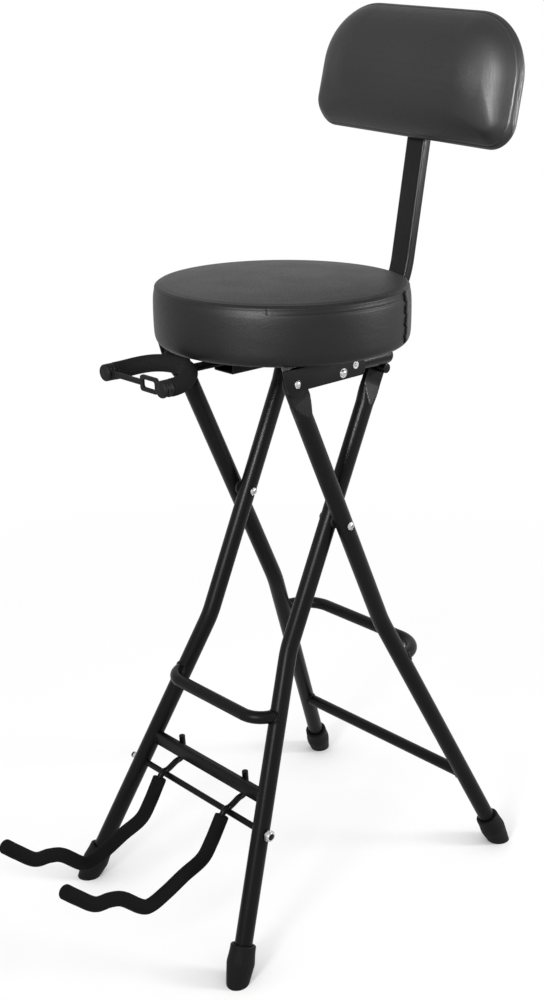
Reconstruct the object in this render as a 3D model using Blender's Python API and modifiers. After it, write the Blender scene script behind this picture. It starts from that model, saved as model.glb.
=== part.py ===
"""Folding guitar chair: crossed tube legs, round padded seat, backrest, neck yoke and guitar cradle.

Metres, +Z up. The sitter faces -Y. Heights are measured from the floor and distances along Y from the
seat's centre, and the finished chair is moved so that its origin is on the floor under its middle.
"""
import math

import bmesh
import bpy
from mathutils import Matrix, Vector

# Clearances
GAP = 0.0003                     # between pieces that touch
SLIDE_FIT = 0.0004               # all round the backrest post in its sleeve
WELD = 0.00001                   # merge distance for curve caps

# Leg frames: the front feet belong to the inner frame, the rear feet to the outer frame
LEG_TUBE = 0.022
FOOT_SPREAD = 0.2332             # cross bolts to a foot, along Y
CROSS_Y = 0.0033                 # cross bolts behind the seat's centre
CROSS_HEIGHT = 0.517             # height of the bolts where the frames cross
INNER_LEG_X = 0.0745
LEG_SPACE = 0.0035               # washer space between crossing legs
FRONT_FOOT_X = 0.1543
REAR_FOOT_X = 0.182
FRONT_BEND = 0.3637              # height where the front legs start to splay
REAR_BEND = 0.3666
BEND_RADIUS = 0.120
FLAT_WIDTH = 0.030               # pressed flat top end of a leg
FLAT_THICK = 0.006
FLAT_BELOW = 0.022               # flat length below its hole
FLAT_TAPER = 0.024               # length over which the tube is pressed flat

# Rubber feet
FOOT_RADIUS = 0.0172
FOOT_TOP_RADIUS = 0.0156
FOOT_LENGTH = 0.047
FOOT_SOLE = 0.014                # rubber under the tube's end

# Footrests and cross bars
REST_TUBE = 0.016
FRONT_REST_HEIGHT = 0.293
FRONT_REST_REACH = 0.031         # ahead of the legs
FRONT_REST_CORNER = 0.030
REAR_REST_HEIGHT = 0.311
REAR_REST_REACH = 0.046          # behind the legs
REAR_REST_CORNER = 0.042
REAR_BAR_HEIGHT = 0.118
FRONT_BAR_HEIGHT = 0.200
FRONT_BAR_TALL = 0.018
FRONT_BAR_DEEP = 0.010

# Cross pivot bolts, and other fasteners
BOLT_SHANK = 0.003               # radius
BOLT_HEAD = 0.0052               # radius
BOLT_HEAD_TALL = 0.003
BOLT_TAIL_TALL = 0.0025          # head of the sleeve nut on the far side
NUT_ACROSS = 0.013               # across flats
NUT_TALL = 0.006
AXLE_NUT_CLEAR = 0.0022          # nut clear of the splayed leg's side
WASHER_RADIUS = 0.009
RIVET_SHANK = 0.0022
RIVET_HEAD = 0.0036
RIVET_HEAD_TALL = 0.0018

# Guitar cradle on the front frame
AXLE_DROP = 0.035                # axle below the front bar's middle
ROD_RADIUS = 0.004
ARM_X = 0.062
ARM_FOAM_RADIUS = 0.009
ARM_STUB_RISE = 0.006            # short end above the front bar
ARM_BEND_DROP = 0.005            # first bend below the front bar
ARM_TIP_FOAM = 0.004             # foam beyond the rod's end
ARM_FOAM_START = 9               # point of the arm's path where its foam begins
# arm bends ahead of and above the axle
ARM_BENDS = [(0.010, 0.0078), (0.0185, -0.005), (0.033, -0.028), (0.048, -0.045), (0.077, -0.0545),
             (0.104, -0.065), (0.128, -0.0715), (0.1425, -0.0665), (0.168, -0.0425), (0.186, -0.0345),
             (0.2065, -0.030), (0.2285, -0.0095), (0.242, 0.0045)]

# Seat
SEAT_PIVOT_HEIGHT = 0.705
SEAT_RADIUS = 0.153
SEAT_THICK = 0.0693              # above the board
SEAT_CROWN = 0.0045
SEAT_SEAM = 0.0073               # seam below the top of the crown
SEAT_TUCK = 0.012                # how far the bottom edge draws in
SEAT_SKIRT = 0.0033              # cushion's edge below the board's top
SEAT_SKIRT_FIT = 0.0015          # cushion's edge clear of the board
BOARD_RADIUS = 0.125
BOARD_THICK = 0.006
STRAP_THICK = 0.0044
STRAP_WIDE = 0.030
FRONT_STRAP_Y = -0.048
REAR_STRAP_Y = 0.052
STRAP_SCREW_X = 0.050
RAIL_TUBE = 0.020
RAIL_RISE = 0.0025               # rail centre above the seat pivot
RAIL_BEHIND = 0.016              # rail's straight part behind the seat pivot
RAIL_REAR = 0.080
RAIL_DOME = 0.007                # length of the domed end
PLATE_THICK = 0.003
PLATE_LOBE = 0.015
PLATE_AHEAD = 0.0205
PLATE_REAR = 0.026
PLATE_CORNER = 0.004
BOLT_TWO_Y = -0.010
RIVET_Y = 0.010
RIVET_RISE = 0.0035              # rivet above the rail's centre
SPACER_RADIUS = 0.0055
SUPPORT_ROD_RADIUS = 0.006
SUPPORT_ROD_PAST = 0.0015        # rod's end beyond the middle of a rail

# Backrest
POST_WIDE = 0.030
POST_THICK = 0.013
POST_TAIL_Y = -0.030             # front end of the post's tail in the sleeve
POST_BEND_Y = 0.104
POST_BEND_RADIUS = 0.105
POST_LEAN = math.radians(10)
POST_UPRIGHT = 0.262             # straight length above the bend
SLEEVE_WALL = 0.0015
SLEEVE_FRONT = -0.093
SLEEVE_REAR = 0.095
KNOB_Y = 0.030
KNOB_RADIUS = 0.012
KNOB_TALL = 0.012
PAD_WIDE = 0.314
PAD_TALL = 0.147
PAD_TOP_CORNER = 0.073           # radius
PAD_LOW_CORNER = 0.0315          # radius
PAD_TAPER = 0.016                # share by which the top edge is narrower than the middle
PAD_ALONG = 0.2178               # pad centre along the post, above the bend
PAD_SHIFT = 0.007                # pad centre to the right of the post
PAD_ROLL = math.radians(3.2)     # right end lower
# pad section from its front to its back: inset from the rim, and depth behind the front
PAD_SECTION = [(0.066, 0.0), (0.055, 0.002), (0.045, 0.0045), (0.036, 0.007), (0.028, 0.010),
               (0.021, 0.0135), (0.015, 0.018), (0.010, 0.023), (0.006, 0.0285), (0.003, 0.033),
               (0.001, 0.037), (0.0, 0.040), (0.001, 0.0435), (0.0035, 0.0462), (0.008, 0.048)]
PAD_BOARD_THICK = 0.009
PAD_BOARD_INSET = 0.030
PAD_BOARD_CORNER = 0.020
PAD_SCREW_STEP = 0.050

# Neck yoke
YOKE_BASE_Y = -0.158
YOKE_HALF_WIDE = 0.0502
YOKE_BOW = 0.0485                # depth of the curved part
YOKE_ARM = 0.004                 # straight part
YOKE_FOAM_RADIUS = 0.0098
STEM_WIDE = 0.020
STEM_THICK = 0.004
STEM_TAIL = 0.048                # length inside the sleeve
STEM_SCREW_IN = 0.022            # screw behind the sleeve's mouth
CAP_RADIUS = 0.0095
CAP_NECK = 0.0055
CAP_FLANGE = 0.004
BAND_THICK = 0.004
BAND_TALL = 0.006
EYE_RADIUS = 0.0095
LOOP_WIDE = 0.030
LOOP_TALL = 0.018
LOOP_WALL = 0.0045
LOOP_FROM_EYE = 0.026            # loop centre to the right-hand eye's centre

# Sizes that follow from the ones above
OUTER_LEG_X = INNER_LEG_X + LEG_TUBE + LEG_SPACE
LEAN = FOOT_SPREAD / CROSS_HEIGHT
AXLE_HEIGHT = FRONT_BAR_HEIGHT - AXLE_DROP
LEG_R = LEG_TUBE / 2
PLATE_OUTER = OUTER_LEG_X + LEG_R
PLATE_INNER = PLATE_OUTER - PLATE_THICK
LEG_END_X = PLATE_INNER - GAP - FLAT_THICK / 2
RAIL_X = LEG_END_X - FLAT_THICK / 2 - GAP - RAIL_TUBE / 2
SEAT_PIVOT_Y = CROSS_Y - (SEAT_PIVOT_HEIGHT - CROSS_HEIGHT) * LEAN
RAIL_Z = SEAT_PIVOT_HEIGHT + RAIL_RISE
RAIL_FRONT = SEAT_PIVOT_Y + RAIL_BEHIND
SUPPORT_Z = RAIL_Z - RAIL_TUBE / 2 - GAP - SUPPORT_ROD_RADIUS
STRAP_Z = RAIL_Z + RAIL_TUBE / 2 + GAP
BOARD_Z = STRAP_Z + STRAP_THICK + GAP
CUSHION_Z = BOARD_Z + BOARD_THICK + GAP
SLEEVE_TALL = POST_THICK + 2 * (SLIDE_FIT + SLEEVE_WALL)
SLEEVE_WIDE = POST_WIDE + 2 * (SLIDE_FIT + SLEEVE_WALL)
POST_Z = STRAP_Z - GAP - SLEEVE_TALL / 2
YOKE_Z = POST_Z + POST_THICK / 2 + SLIDE_FIT - GAP - STEM_THICK / 2
YOKE_TIP_Y = YOKE_BASE_Y - YOKE_BOW - YOKE_ARM
YOKE_RISE = STEM_THICK / 2 + GAP + ROD_RADIUS    # bow's back above its tips, on the stem
BAND_Y = YOKE_TIP_Y - GAP - CAP_FLANGE - GAP - BAND_THICK / 2

FRAMES = {
    "front": {"lean": 1, "x": INNER_LEG_X, "foot_x": FRONT_FOOT_X, "bend": FRONT_BEND,
              "hole_z": SUPPORT_Z, "hole_r": SUPPORT_ROD_RADIUS + GAP, "end_x": INNER_LEG_X},
    "rear": {"lean": -1, "x": OUTER_LEG_X, "foot_x": REAR_FOOT_X, "bend": REAR_BEND,
             "hole_z": SEAT_PIVOT_HEIGHT, "hole_r": BOLT_SHANK + GAP, "end_x": LEG_END_X},
}
SIDES = {"left": -1, "right": 1}

# Colours, roughness and metallic value of each finish
FINISHES = {
    "black_paint": ((0.016, 0.016, 0.017), 0.38, 0.0),
    "zinc": ((0.62, 0.62, 0.63), 0.32, 1.0),
    "rubber": ((0.020, 0.020, 0.021), 0.75, 0.0),
    "foam": ((0.014, 0.014, 0.015), 0.92, 0.0),
    "leather": ((0.022, 0.022, 0.024), 0.46, 0.0),
    "plywood": ((0.55, 0.40, 0.25), 0.70, 0.0),
    "black_plastic": ((0.018, 0.018, 0.019), 0.50, 0.0),
}


def clear_scene():
    for thing in list(bpy.data.objects):
        bpy.data.objects.remove(thing)


def collection(name):
    group = bpy.data.collections.new(name)
    bpy.context.scene.collection.children.link(group)
    return group


def finish(name):
    colour, roughness, metallic = FINISHES[name]
    look = bpy.data.materials.new(name)
    look.use_nodes = True
    shader = look.node_tree.nodes["Principled BSDF"]
    shader.inputs["Base Color"].default_value = (*colour, 1.0)
    shader.inputs["Roughness"].default_value = roughness
    shader.inputs["Metallic"].default_value = metallic
    return look


clear_scene()
PARTS = collection("guitar_chair")
CUTTERS = collection("cutters")
LOOKS = {name: finish(name) for name in FINISHES}
ORIGIN = bpy.data.objects.new("chair_origin", None)
PARTS.objects.link(ORIGIN)


def axis_empty(name, place):
    """An empty on a joint's axis, which the moving pieces are parented to."""
    empty = bpy.data.objects.new(name, None)
    empty.location = place
    empty.parent = ORIGIN
    PARTS.objects.link(empty)
    return empty


def add(piece, look, axis=None):
    """Put a finished piece in the chair, on its joint's axis if it moves."""
    PARTS.objects.link(piece)
    piece.parent = axis or ORIGIN
    if axis:
        piece.matrix_parent_inverse = Matrix.Translation(-axis.location)
    piece.data.materials.clear()
    piece.data.materials.append(LOOKS[look])
    piece.data.shade_smooth()
    piece.data.set_sharp_from_angle(angle=math.radians(35))
    return piece


def cutter(piece):
    CUTTERS.objects.link(piece)
    piece.parent = ORIGIN
    piece.hide_render = True
    piece.display_type = 'WIRE'
    return piece


def cut(piece, tool):
    change = piece.modifiers.new("cut", 'BOOLEAN')
    change.operation = 'DIFFERENCE'
    change.solver = 'EXACT'
    change.object = tool


def mesh_object(name, form):
    mesh = bpy.data.meshes.new(name)
    form.to_mesh(mesh)
    form.free()
    return bpy.data.objects.new(name, mesh)


def curve_to_mesh(name, curve):
    """The mesh that a curve makes, with its caps welded on."""
    guide = bpy.data.objects.new(name, curve)
    bpy.context.scene.collection.objects.link(guide)
    graph = bpy.context.evaluated_depsgraph_get()
    mesh = bpy.data.meshes.new_from_object(guide.evaluated_get(graph))
    bpy.data.objects.remove(guide)
    bpy.data.curves.remove(curve)
    form = bmesh.new()
    form.from_mesh(mesh)
    bpy.data.meshes.remove(mesh)
    bmesh.ops.remove_doubles(form, verts=form.verts, dist=WELD)
    bmesh.ops.recalc_face_normals(form, faces=form.faces)
    return mesh_object(name, form)


def tube(name, points, radius, sides=12):
    """A round bar along the points."""
    curve = bpy.data.curves.new(name, 'CURVE')
    curve.dimensions = '3D'
    curve.bevel_depth = radius
    curve.bevel_resolution = sides // 2 - 2
    curve.use_fill_caps = True
    spline = curve.splines.new('POLY')
    spline.points.add(len(points) - 1)
    for spot, place in zip(spline.points, points):
        spot.co = (*place, 1.0)
    return curve_to_mesh(name, curve)


# How the two axes of a flat outline lie in the chair, with the thickness along the third
STANDING_SIDEWAYS = Matrix(((0, 0, 1), (1, 0, 0), (0, 1, 0))).to_4x4()      # outline in Y and Z
STANDING_ACROSS = Matrix(((1, 0, 0), (0, 0, -1), (0, 1, 0))).to_4x4()       # outline in X and Z


def flat(name, outlines, thickness, turn=None, place=(0, 0, 0)):
    """A flat piece from its outline and the outlines of its holes."""
    curve = bpy.data.curves.new(name, 'CURVE')
    curve.dimensions = '2D'
    curve.fill_mode = 'BOTH'
    curve.extrude = thickness / 2
    for outline in outlines:
        spline = curve.splines.new('POLY')
        spline.points.add(len(outline) - 1)
        spline.use_cyclic_u = True
        for spot, (u, v) in zip(spline.points, outline):
            spot.co = (u, v, 0.0, 1.0)
    piece = curve_to_mesh(name, curve)
    piece.data.transform(Matrix.Translation(place) @ (turn or Matrix.Identity(4)))
    return piece


def turned(name, profile, steps, frame=None):
    """A turned piece: its profile of (radius, height) runs from the top down the outside."""
    form = bmesh.new()
    spots = [form.verts.new((radius, 0, height)) for radius, height in profile]
    for first, second in zip(spots, spots[1:]):
        form.edges.new((first, second))
    piece = mesh_object(name, form)
    screw = piece.modifiers.new("turn", 'SCREW')
    screw.steps = steps
    screw.render_steps = steps
    screw.use_merge_vertices = True
    screw.merge_threshold = WELD
    piece.matrix_basis = frame or Matrix.Identity(4)
    return piece


def along(start, direction):
    """A frame at start whose Z axis points along a direction."""
    turn = Vector(direction).to_track_quat('Z', 'Y').to_matrix().to_4x4()
    return Matrix.Translation(start) @ turn


def rod(name, start, end, radius, sides=16):
    """A straight round bar between two points."""
    start, end = Vector(start), Vector(end)
    form = bmesh.new()
    bmesh.ops.create_cone(form, cap_ends=True, segments=sides, radius1=radius, radius2=radius,
                          depth=(end - start).length,
                          matrix=along((start + end) / 2, end - start))
    return mesh_object(name, form)


def box(name, low, high):
    low, high = Vector(low), Vector(high)
    form = bmesh.new()
    bmesh.ops.create_cube(form, size=1.0)
    bmesh.ops.scale(form, vec=high - low, verts=form.verts)
    bmesh.ops.translate(form, vec=(low + high) / 2, verts=form.verts)
    return mesh_object(name, form)


def group(name, pieces):
    """One cutter from separate bodies, such as a set of screw holes."""
    form = bmesh.new()
    graph = bpy.context.evaluated_depsgraph_get()
    for piece in pieces:
        CUTTERS.objects.link(piece)
    graph.update()
    for piece in pieces:
        mesh = bpy.data.meshes.new_from_object(piece.evaluated_get(graph))
        mesh.transform(piece.matrix_basis)
        form.from_mesh(mesh)
        bpy.data.meshes.remove(mesh)
        bpy.data.objects.remove(piece)
    return mesh_object(name, form)


def circle(centre, radius, count=16, start=0.0, sweep=2 * math.pi):
    """Points round a circle, or along an arc of it with both ends."""
    whole = abs(sweep) >= 2 * math.pi - 1e-9
    steps = count if whole else count - 1
    turns = [start + sweep * i / steps for i in range(count)]
    return [(centre[0] + radius * math.cos(a), centre[1] + radius * math.sin(a)) for a in turns]


def rounded(points, radius, steps=5):
    """A path whose inner corners are turned into arcs."""
    points = [Vector(p) for p in points]
    path = [points[0]]
    for before, corner, after in zip(points, points[1:], points[2:]):
        into = (before - corner).normalized()
        out = (after - corner).normalized()
        half = into.angle(out) / 2
        back = radius / math.tan(half)
        middle = corner + (into + out).normalized() * radius / math.sin(half)
        first = corner + into * back - middle
        last = corner + out * back - middle
        for i in range(steps + 1):
            path.append(middle + radius * first.slerp(last, i / steps))
    path.append(points[-1])
    return path


def smooth(points, steps):
    """A smooth curve through the points, a Catmull-Rom spline."""
    points = [Vector(p) for p in points]
    ends = [2 * points[0] - points[1]] + points + [2 * points[-1] - points[-2]]
    path = []
    for a, b, c, d in zip(ends, ends[1:], ends[2:], ends[3:]):
        for i in range(steps):
            t = i / steps
            path.append(0.5 * (2 * b + (c - a) * t + (2 * a - 5 * b + 4 * c - d) * t * t
                               + (3 * b - a - 3 * c + d) * t ** 3))
    return path + [points[-1]]


def leg_point(frame, side, height):
    """A leg's centre at a height: upright above its bend and splayed below it."""
    spec = FRAMES[frame]
    share = max(0.0, (spec["bend"] - height) / spec["bend"])
    x = spec["x"] + (spec["foot_x"] - spec["x"]) * share
    return Vector((SIDES[side] * x, CROSS_Y + spec["lean"] * (height - CROSS_HEIGHT) * LEAN, height))


def leg_up(frame):
    return Vector((0, FRAMES[frame]["lean"] * LEAN, 1)).normalized()


def leg_path(frame, side):
    spec = FRAMES[frame]
    foot = leg_point(frame, side, 0)
    bend = leg_point(frame, side, spec["bend"])
    hole = leg_point(frame, side, spec["hole_z"])
    up = leg_up(frame)
    start = foot + (bend - foot).normalized() * (FOOT_SOLE + GAP)
    path = rounded([start, bend, hole - up * (FLAT_BELOW + FLAT_TAPER)], BEND_RADIUS)
    end = FLAT_WIDTH / 2
    rings = [-FLAT_BELOW - FLAT_TAPER / 2, -FLAT_BELOW, 0.0, 0.5 * end, 0.8 * end, 0.95 * end, 0.99 * end]
    return path + [hole + up * ring for ring in rings]


def press_flat(piece, frame, side):
    """Press the top of a leg flat, with a round end about its hole."""
    spec = FRAMES[frame]
    hole = leg_point(frame, side, spec["hole_z"])
    up = leg_up(frame)
    across = Vector((1, 0, 0)).cross(up)
    shift = SIDES[side] * (spec["end_x"] - spec["x"])
    end = FLAT_WIDTH / 2
    for spot in piece.data.vertices:
        offset = spot.co - hole
        height = offset.dot(up)
        share = min(1.0, max(0.0, (height + FLAT_BELOW + FLAT_TAPER) / FLAT_TAPER))
        wide = offset.dot(across)
        deep = max(-1.0, min(1.0, offset.x / (0.55 * LEG_R)))
        flat_wide = wide * FLAT_WIDTH / LEG_TUBE
        if height > 0:
            flat_wide *= math.sqrt(1 - (height / end) ** 2)
        x = (1 - share) * offset.x + share * (shift + deep * FLAT_THICK / 2)
        wide = (1 - share) * wide + share * flat_wide
        spot.co = hole + Vector((x, 0, 0)) + across * wide + up * height


def leg(frame, side, axis):
    spec = FRAMES[frame]
    name = f"{frame}_leg_{side}"
    piece = tube(name, leg_path(frame, side), LEG_R)
    press_flat(piece, frame, side)
    reach = SIDES[side] * (PLATE_OUTER + LEG_TUBE)
    bores = [(CROSS_Y, CROSS_HEIGHT, BOLT_SHANK + GAP, "cross"),
             (leg_point(frame, side, spec["hole_z"]).y, spec["hole_z"], spec["hole_r"], "top")]
    if frame == "front":
        bores.append((leg_point(frame, side, AXLE_HEIGHT).y, AXLE_HEIGHT, ROD_RADIUS + GAP, "axle"))
    for y, z, radius, label in bores:
        bore = rod(f"{name}_{label}_bore", (0, y, z), (reach * 1.5, y, z), radius, 14)
        cut(piece, cutter(bore))
    return add(piece, "black_paint", axis)



def leg_room(frame):
    """The space of a frame's two legs, which bars welded to them are cut to."""
    rooms = []
    for side in SIDES:
        spec = FRAMES[frame]
        foot = leg_point(frame, side, 0)
        bend = leg_point(frame, side, spec["bend"])
        hole = leg_point(frame, side, spec["hole_z"])
        path = rounded([foot, bend, hole], BEND_RADIUS)
        rooms.append(cutter(tube(f"{frame}_{side}_leg_room", path, LEG_R + GAP)))
    return rooms


def foot(frame, side, axis):
    """A rubber foot: a tapered cup on the leg's end, cut level with the floor."""
    floor = leg_point(frame, side, 0)
    bend = leg_point(frame, side, FRAMES[frame]["bend"])
    up = (bend - floor).normalized()
    bore = LEG_R + GAP
    below = FOOT_RADIUS * 0.7
    profile = [(0, FOOT_SOLE), (bore, FOOT_SOLE), (bore, FOOT_LENGTH), (FOOT_TOP_RADIUS - 0.001, FOOT_LENGTH),
               (FOOT_TOP_RADIUS, FOOT_LENGTH - 0.002), (FOOT_RADIUS, FOOT_LENGTH * 0.58),
               (FOOT_RADIUS, FOOT_LENGTH * 0.45), (FOOT_RADIUS * 0.7, -below), (0, -below)]
    piece = turned(f"{frame}_foot_{side}", profile, 20, along(floor, up))
    size = FOOT_RADIUS * 3
    low, high = floor - Vector((size, size, size)), floor + Vector((size, size, 0))
    ground = box(f"{frame}_{side}_ground", low, high)
    cut(piece, cutter(ground))
    return add(piece, "rubber", axis)


def footrest(frame, height, reach, corner, axis, rooms):
    """A U-shaped tube welded to a frame's legs."""
    left, right = (leg_point(frame, side, height) for side in SIDES)
    outward = Vector((0, -FRAMES[frame]["lean"] * reach, 0))
    path = rounded([left, left + outward, right + outward, right], corner)
    piece = tube(f"{frame}_footrest", path, REST_TUBE / 2)
    for room in rooms:
        cut(piece, room)
    return add(piece, "black_paint", axis)


def cross_tube(name, frame, height, axis, rooms):
    left, right = (leg_point(frame, side, height) for side in SIDES)
    piece = tube(name, [left, right], REST_TUBE / 2)
    for room in rooms:
        cut(piece, room)
    return add(piece, "black_paint", axis)


def front_bar(axis, rooms):
    """The flat bar across the front legs, which stops the cradle."""
    left, right = (leg_point("front", side, FRONT_BAR_HEIGHT) for side in SIDES)
    half = Vector((0, FRONT_BAR_DEEP / 2, FRONT_BAR_TALL / 2))
    piece = box("front_cross_bar", left - half, right + half)
    for room in rooms:
        cut(piece, room)
    return add(piece, "black_paint", axis)


def bolt(name, under_head, direction, length, shank=BOLT_SHANK, head=BOLT_HEAD, tall=BOLT_HEAD_TALL,
         collar=None):
    """A dome-headed bolt: its head stands out along a direction and its shank runs back.

    A collar of (radius, start, end) widens the shank between two depths under the head.
    """
    profile = [(0, tall), (head * 0.55, tall * 0.85), (head * 0.9, tall * 0.45), (head, 0), (shank, 0)]
    if collar:
        radius, start, end = collar
        profile += [(shank, -start), (radius, -start), (radius, -end)]
        if end < length:
            profile += [(shank, -end)]
    if not collar or end < length:
        profile += [(shank, -length)]
    profile += [(0, -length)]
    return turned(name, profile, 12, along(under_head, direction))


def nut(name, middle, bore, across=NUT_ACROSS, tall=NUT_TALL):
    """A hexagon nut on an axis along X."""
    corners = circle((0, 0), across / math.sqrt(3), 6)
    hole = circle((0, 0), bore, 12)
    return flat(name, [corners, hole], tall, STANDING_SIDEWAYS, middle)


def ring(name, middle, radius, bore, thickness):
    """A washer or spacer on an axis along X."""
    return flat(name, [circle((0, 0), radius, 16), circle((0, 0), bore, 12)], thickness,
                STANDING_SIDEWAYS, middle)


def cross_pivot():
    """Sleeve bolts with a head at both ends, and washers, where the legs cross."""
    inner = INNER_LEG_X - LEG_R
    bore = BOLT_SHANK + GAP
    for side, sign in SIDES.items():
        def on_axis(x):
            return (sign * x, CROSS_Y, CROSS_HEIGHT)

        tail = PLATE_OUTER + GAP - inner + GAP
        end = tail + BOLT_TAIL_TALL
        add(bolt(f"cross_bolt_{side}", on_axis(PLATE_OUTER + GAP), (sign, 0, 0), end,
                 collar=(BOLT_HEAD, tail, end)), "zinc")
        add(ring(f"cross_washer_{side}", on_axis(INNER_LEG_X + LEG_R + LEG_SPACE / 2), WASHER_RADIUS, bore,
                 LEG_SPACE - 2 * GAP), "black_plastic")


def support_rod(axis):
    """The rod through the front frame's top ends, which carries the seat rails."""
    y = leg_point("front", "right", SUPPORT_Z).y
    end = RAIL_X + SUPPORT_ROD_PAST
    piece = rod("seat_support_rod", (-end, y, SUPPORT_Z), (end, y, SUPPORT_Z), SUPPORT_ROD_RADIUS)
    return add(piece, "black_paint", axis)


def arm_path(sign):
    """A cradle arm's centre line: stub behind the front bar, over the axle, then the padded hook."""
    axle = leg_point("front", "right", AXLE_HEIGHT)
    stub_y = leg_point("front", "right", FRONT_BAR_HEIGHT).y + FRONT_BAR_DEEP / 2 + GAP + ROD_RADIUS
    over = 2 * ROD_RADIUS + GAP
    bend_z = FRONT_BAR_HEIGHT - FRONT_BAR_TALL / 2 - ARM_BEND_DROP
    over_z = AXLE_HEIGHT + over * 1.16
    spots = [(stub_y, FRONT_BAR_HEIGHT + FRONT_BAR_TALL / 2 + ARM_STUB_RISE), (stub_y, bend_z),
             ((stub_y + axle.y) / 2, (bend_z + over_z) / 2), (axle.y, over_z)]
    spots += [(axle.y - ahead, AXLE_HEIGHT + up) for ahead, up in ARM_BENDS]
    return smooth([(sign * ARM_X, y, z) for y, z in spots], 2)



def cradle(axis):
    """The guitar cradle: an axle in the front legs with two padded hooks."""
    axle = leg_point("front", "right", AXLE_HEIGHT)
    stand_off = LEG_R + AXLE_NUT_CLEAR
    reach = axle.x + stand_off + NUT_TALL + GAP
    end = Vector((reach, axle.y, AXLE_HEIGHT))
    start = Vector((-reach, axle.y, AXLE_HEIGHT))
    add(rod("cradle_axle", start, end, ROD_RADIUS, 12), "black_paint", axis)
    for side, sign in SIDES.items():
        nut_place = (sign * (axle.x + stand_off + NUT_TALL / 2), axle.y, AXLE_HEIGHT)
        add(nut(f"cradle_lock_nut_{side}", nut_place, ROD_RADIUS + GAP), "zinc", axis)
        path = arm_path(sign)
        add(tube(f"cradle_arm_{side}", path, ROD_RADIUS, 8), "black_paint", axis)
        tip = (path[-1] - path[-2]).normalized()
        foam_path = path[ARM_FOAM_START:] + [path[-1] + tip * ARM_TIP_FOAM]
        foam = tube(f"cradle_foam_{side}", foam_path, ARM_FOAM_RADIUS, 12)
        bore_path = path[ARM_FOAM_START - 1:-1] + [path[-1] + tip * GAP]
        cut(foam, cutter(tube(f"cradle_foam_{side}_bore", bore_path, ROD_RADIUS + GAP, 8)))
        add(foam, "foam", axis)


def rails(axis):
    """Tubes under the seat with domed ends and bolt holes."""
    bores = ((BOLT_TWO_Y, SEAT_PIVOT_HEIGHT, BOLT_SHANK), (RIVET_Y, RAIL_Z + RIVET_RISE, RIVET_SHANK))
    radius = RAIL_TUBE / 2
    for side, sign in SIDES.items():
        x = sign * RAIL_X
        dome = [(radius * math.sin(a), RAIL_DOME * math.cos(a)) for a in (0.0, 0.6, 1.1, math.pi / 2)]
        length = RAIL_REAR - RAIL_FRONT
        profile = dome + [(r, -length - h) for r, h in reversed(dome)]
        piece = turned(f"seat_rail_{side}", profile, 16, along((x, RAIL_REAR, RAIL_Z), (0, 1, 0)))
        for i, (y, z, shank) in enumerate(bores):
            bore = rod(f"seat_rail_{side}_bore_{i}", (x - radius * 1.5, y, z), (x + radius * 1.5, y, z),
                       shank + GAP, 12)
            cut(piece, cutter(bore))
        add(piece, "black_paint", axis)


def side_plates(axis):
    """Plates outside the legs' top ends, which carry the seat's pivot bolts."""
    top = BOARD_Z - GAP
    y, z = SEAT_PIVOT_Y, SEAT_PIVOT_HEIGHT
    low = RAIL_Z - RAIL_TUBE / 2
    lobe = circle((y, z), PLATE_LOBE, 7, math.radians(-35), math.radians(-135))
    slope = (top - low) / 3
    outline = [(PLATE_REAR - slope, top), (PLATE_REAR, low + slope), (PLATE_REAR - PLATE_CORNER, low)]
    outline += lobe + [(y - PLATE_AHEAD, top)]
    holes = [circle((y, z), BOLT_SHANK + GAP, 12), circle((BOLT_TWO_Y, z), BOLT_SHANK + GAP, 12),
             circle((RIVET_Y, RAIL_Z + RIVET_RISE), RIVET_SHANK + GAP, 12)]
    # depths below the bolt heads of the plate's inner face and of the rail's two sides
    inside = GAP + PLATE_THICK + GAP
    rail_near = PLATE_OUTER - RAIL_X - RAIL_TUBE / 2
    rail_far = rail_near + RAIL_TUBE + 2 * GAP
    for side, sign in SIDES.items():
        x = sign * (PLATE_INNER + PLATE_THICK / 2)
        add(flat(f"side_plate_{side}", [outline] + holes, PLATE_THICK, STANDING_SIDEWAYS, (x, 0, 0)),
            "black_paint", axis)
        face = sign * (PLATE_OUTER + GAP)
        out = (sign, 0, 0)
        leg_far = inside + FLAT_THICK + GAP
        end = leg_far + BOLT_TAIL_TALL
        add(bolt(f"seat_pivot_bolt_{side}", (face, y, z), out, end, collar=(BOLT_HEAD, leg_far, end)),
            "zinc", axis)
        add(bolt(f"side_plate_bolt_{side}", (face, BOLT_TWO_Y, z), out, rail_far - GAP,
                 collar=(SPACER_RADIUS, inside, rail_near)), "zinc", axis)
        add(bolt(f"side_plate_rivet_{side}", (face, RIVET_Y, RAIL_Z + RIVET_RISE), out,
                 rail_far - RAIL_TUBE / 2, RIVET_SHANK, RIVET_HEAD, RIVET_HEAD_TALL,
                 (SPACER_RADIUS * 0.8, inside, rail_near)), "zinc", axis)


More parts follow.
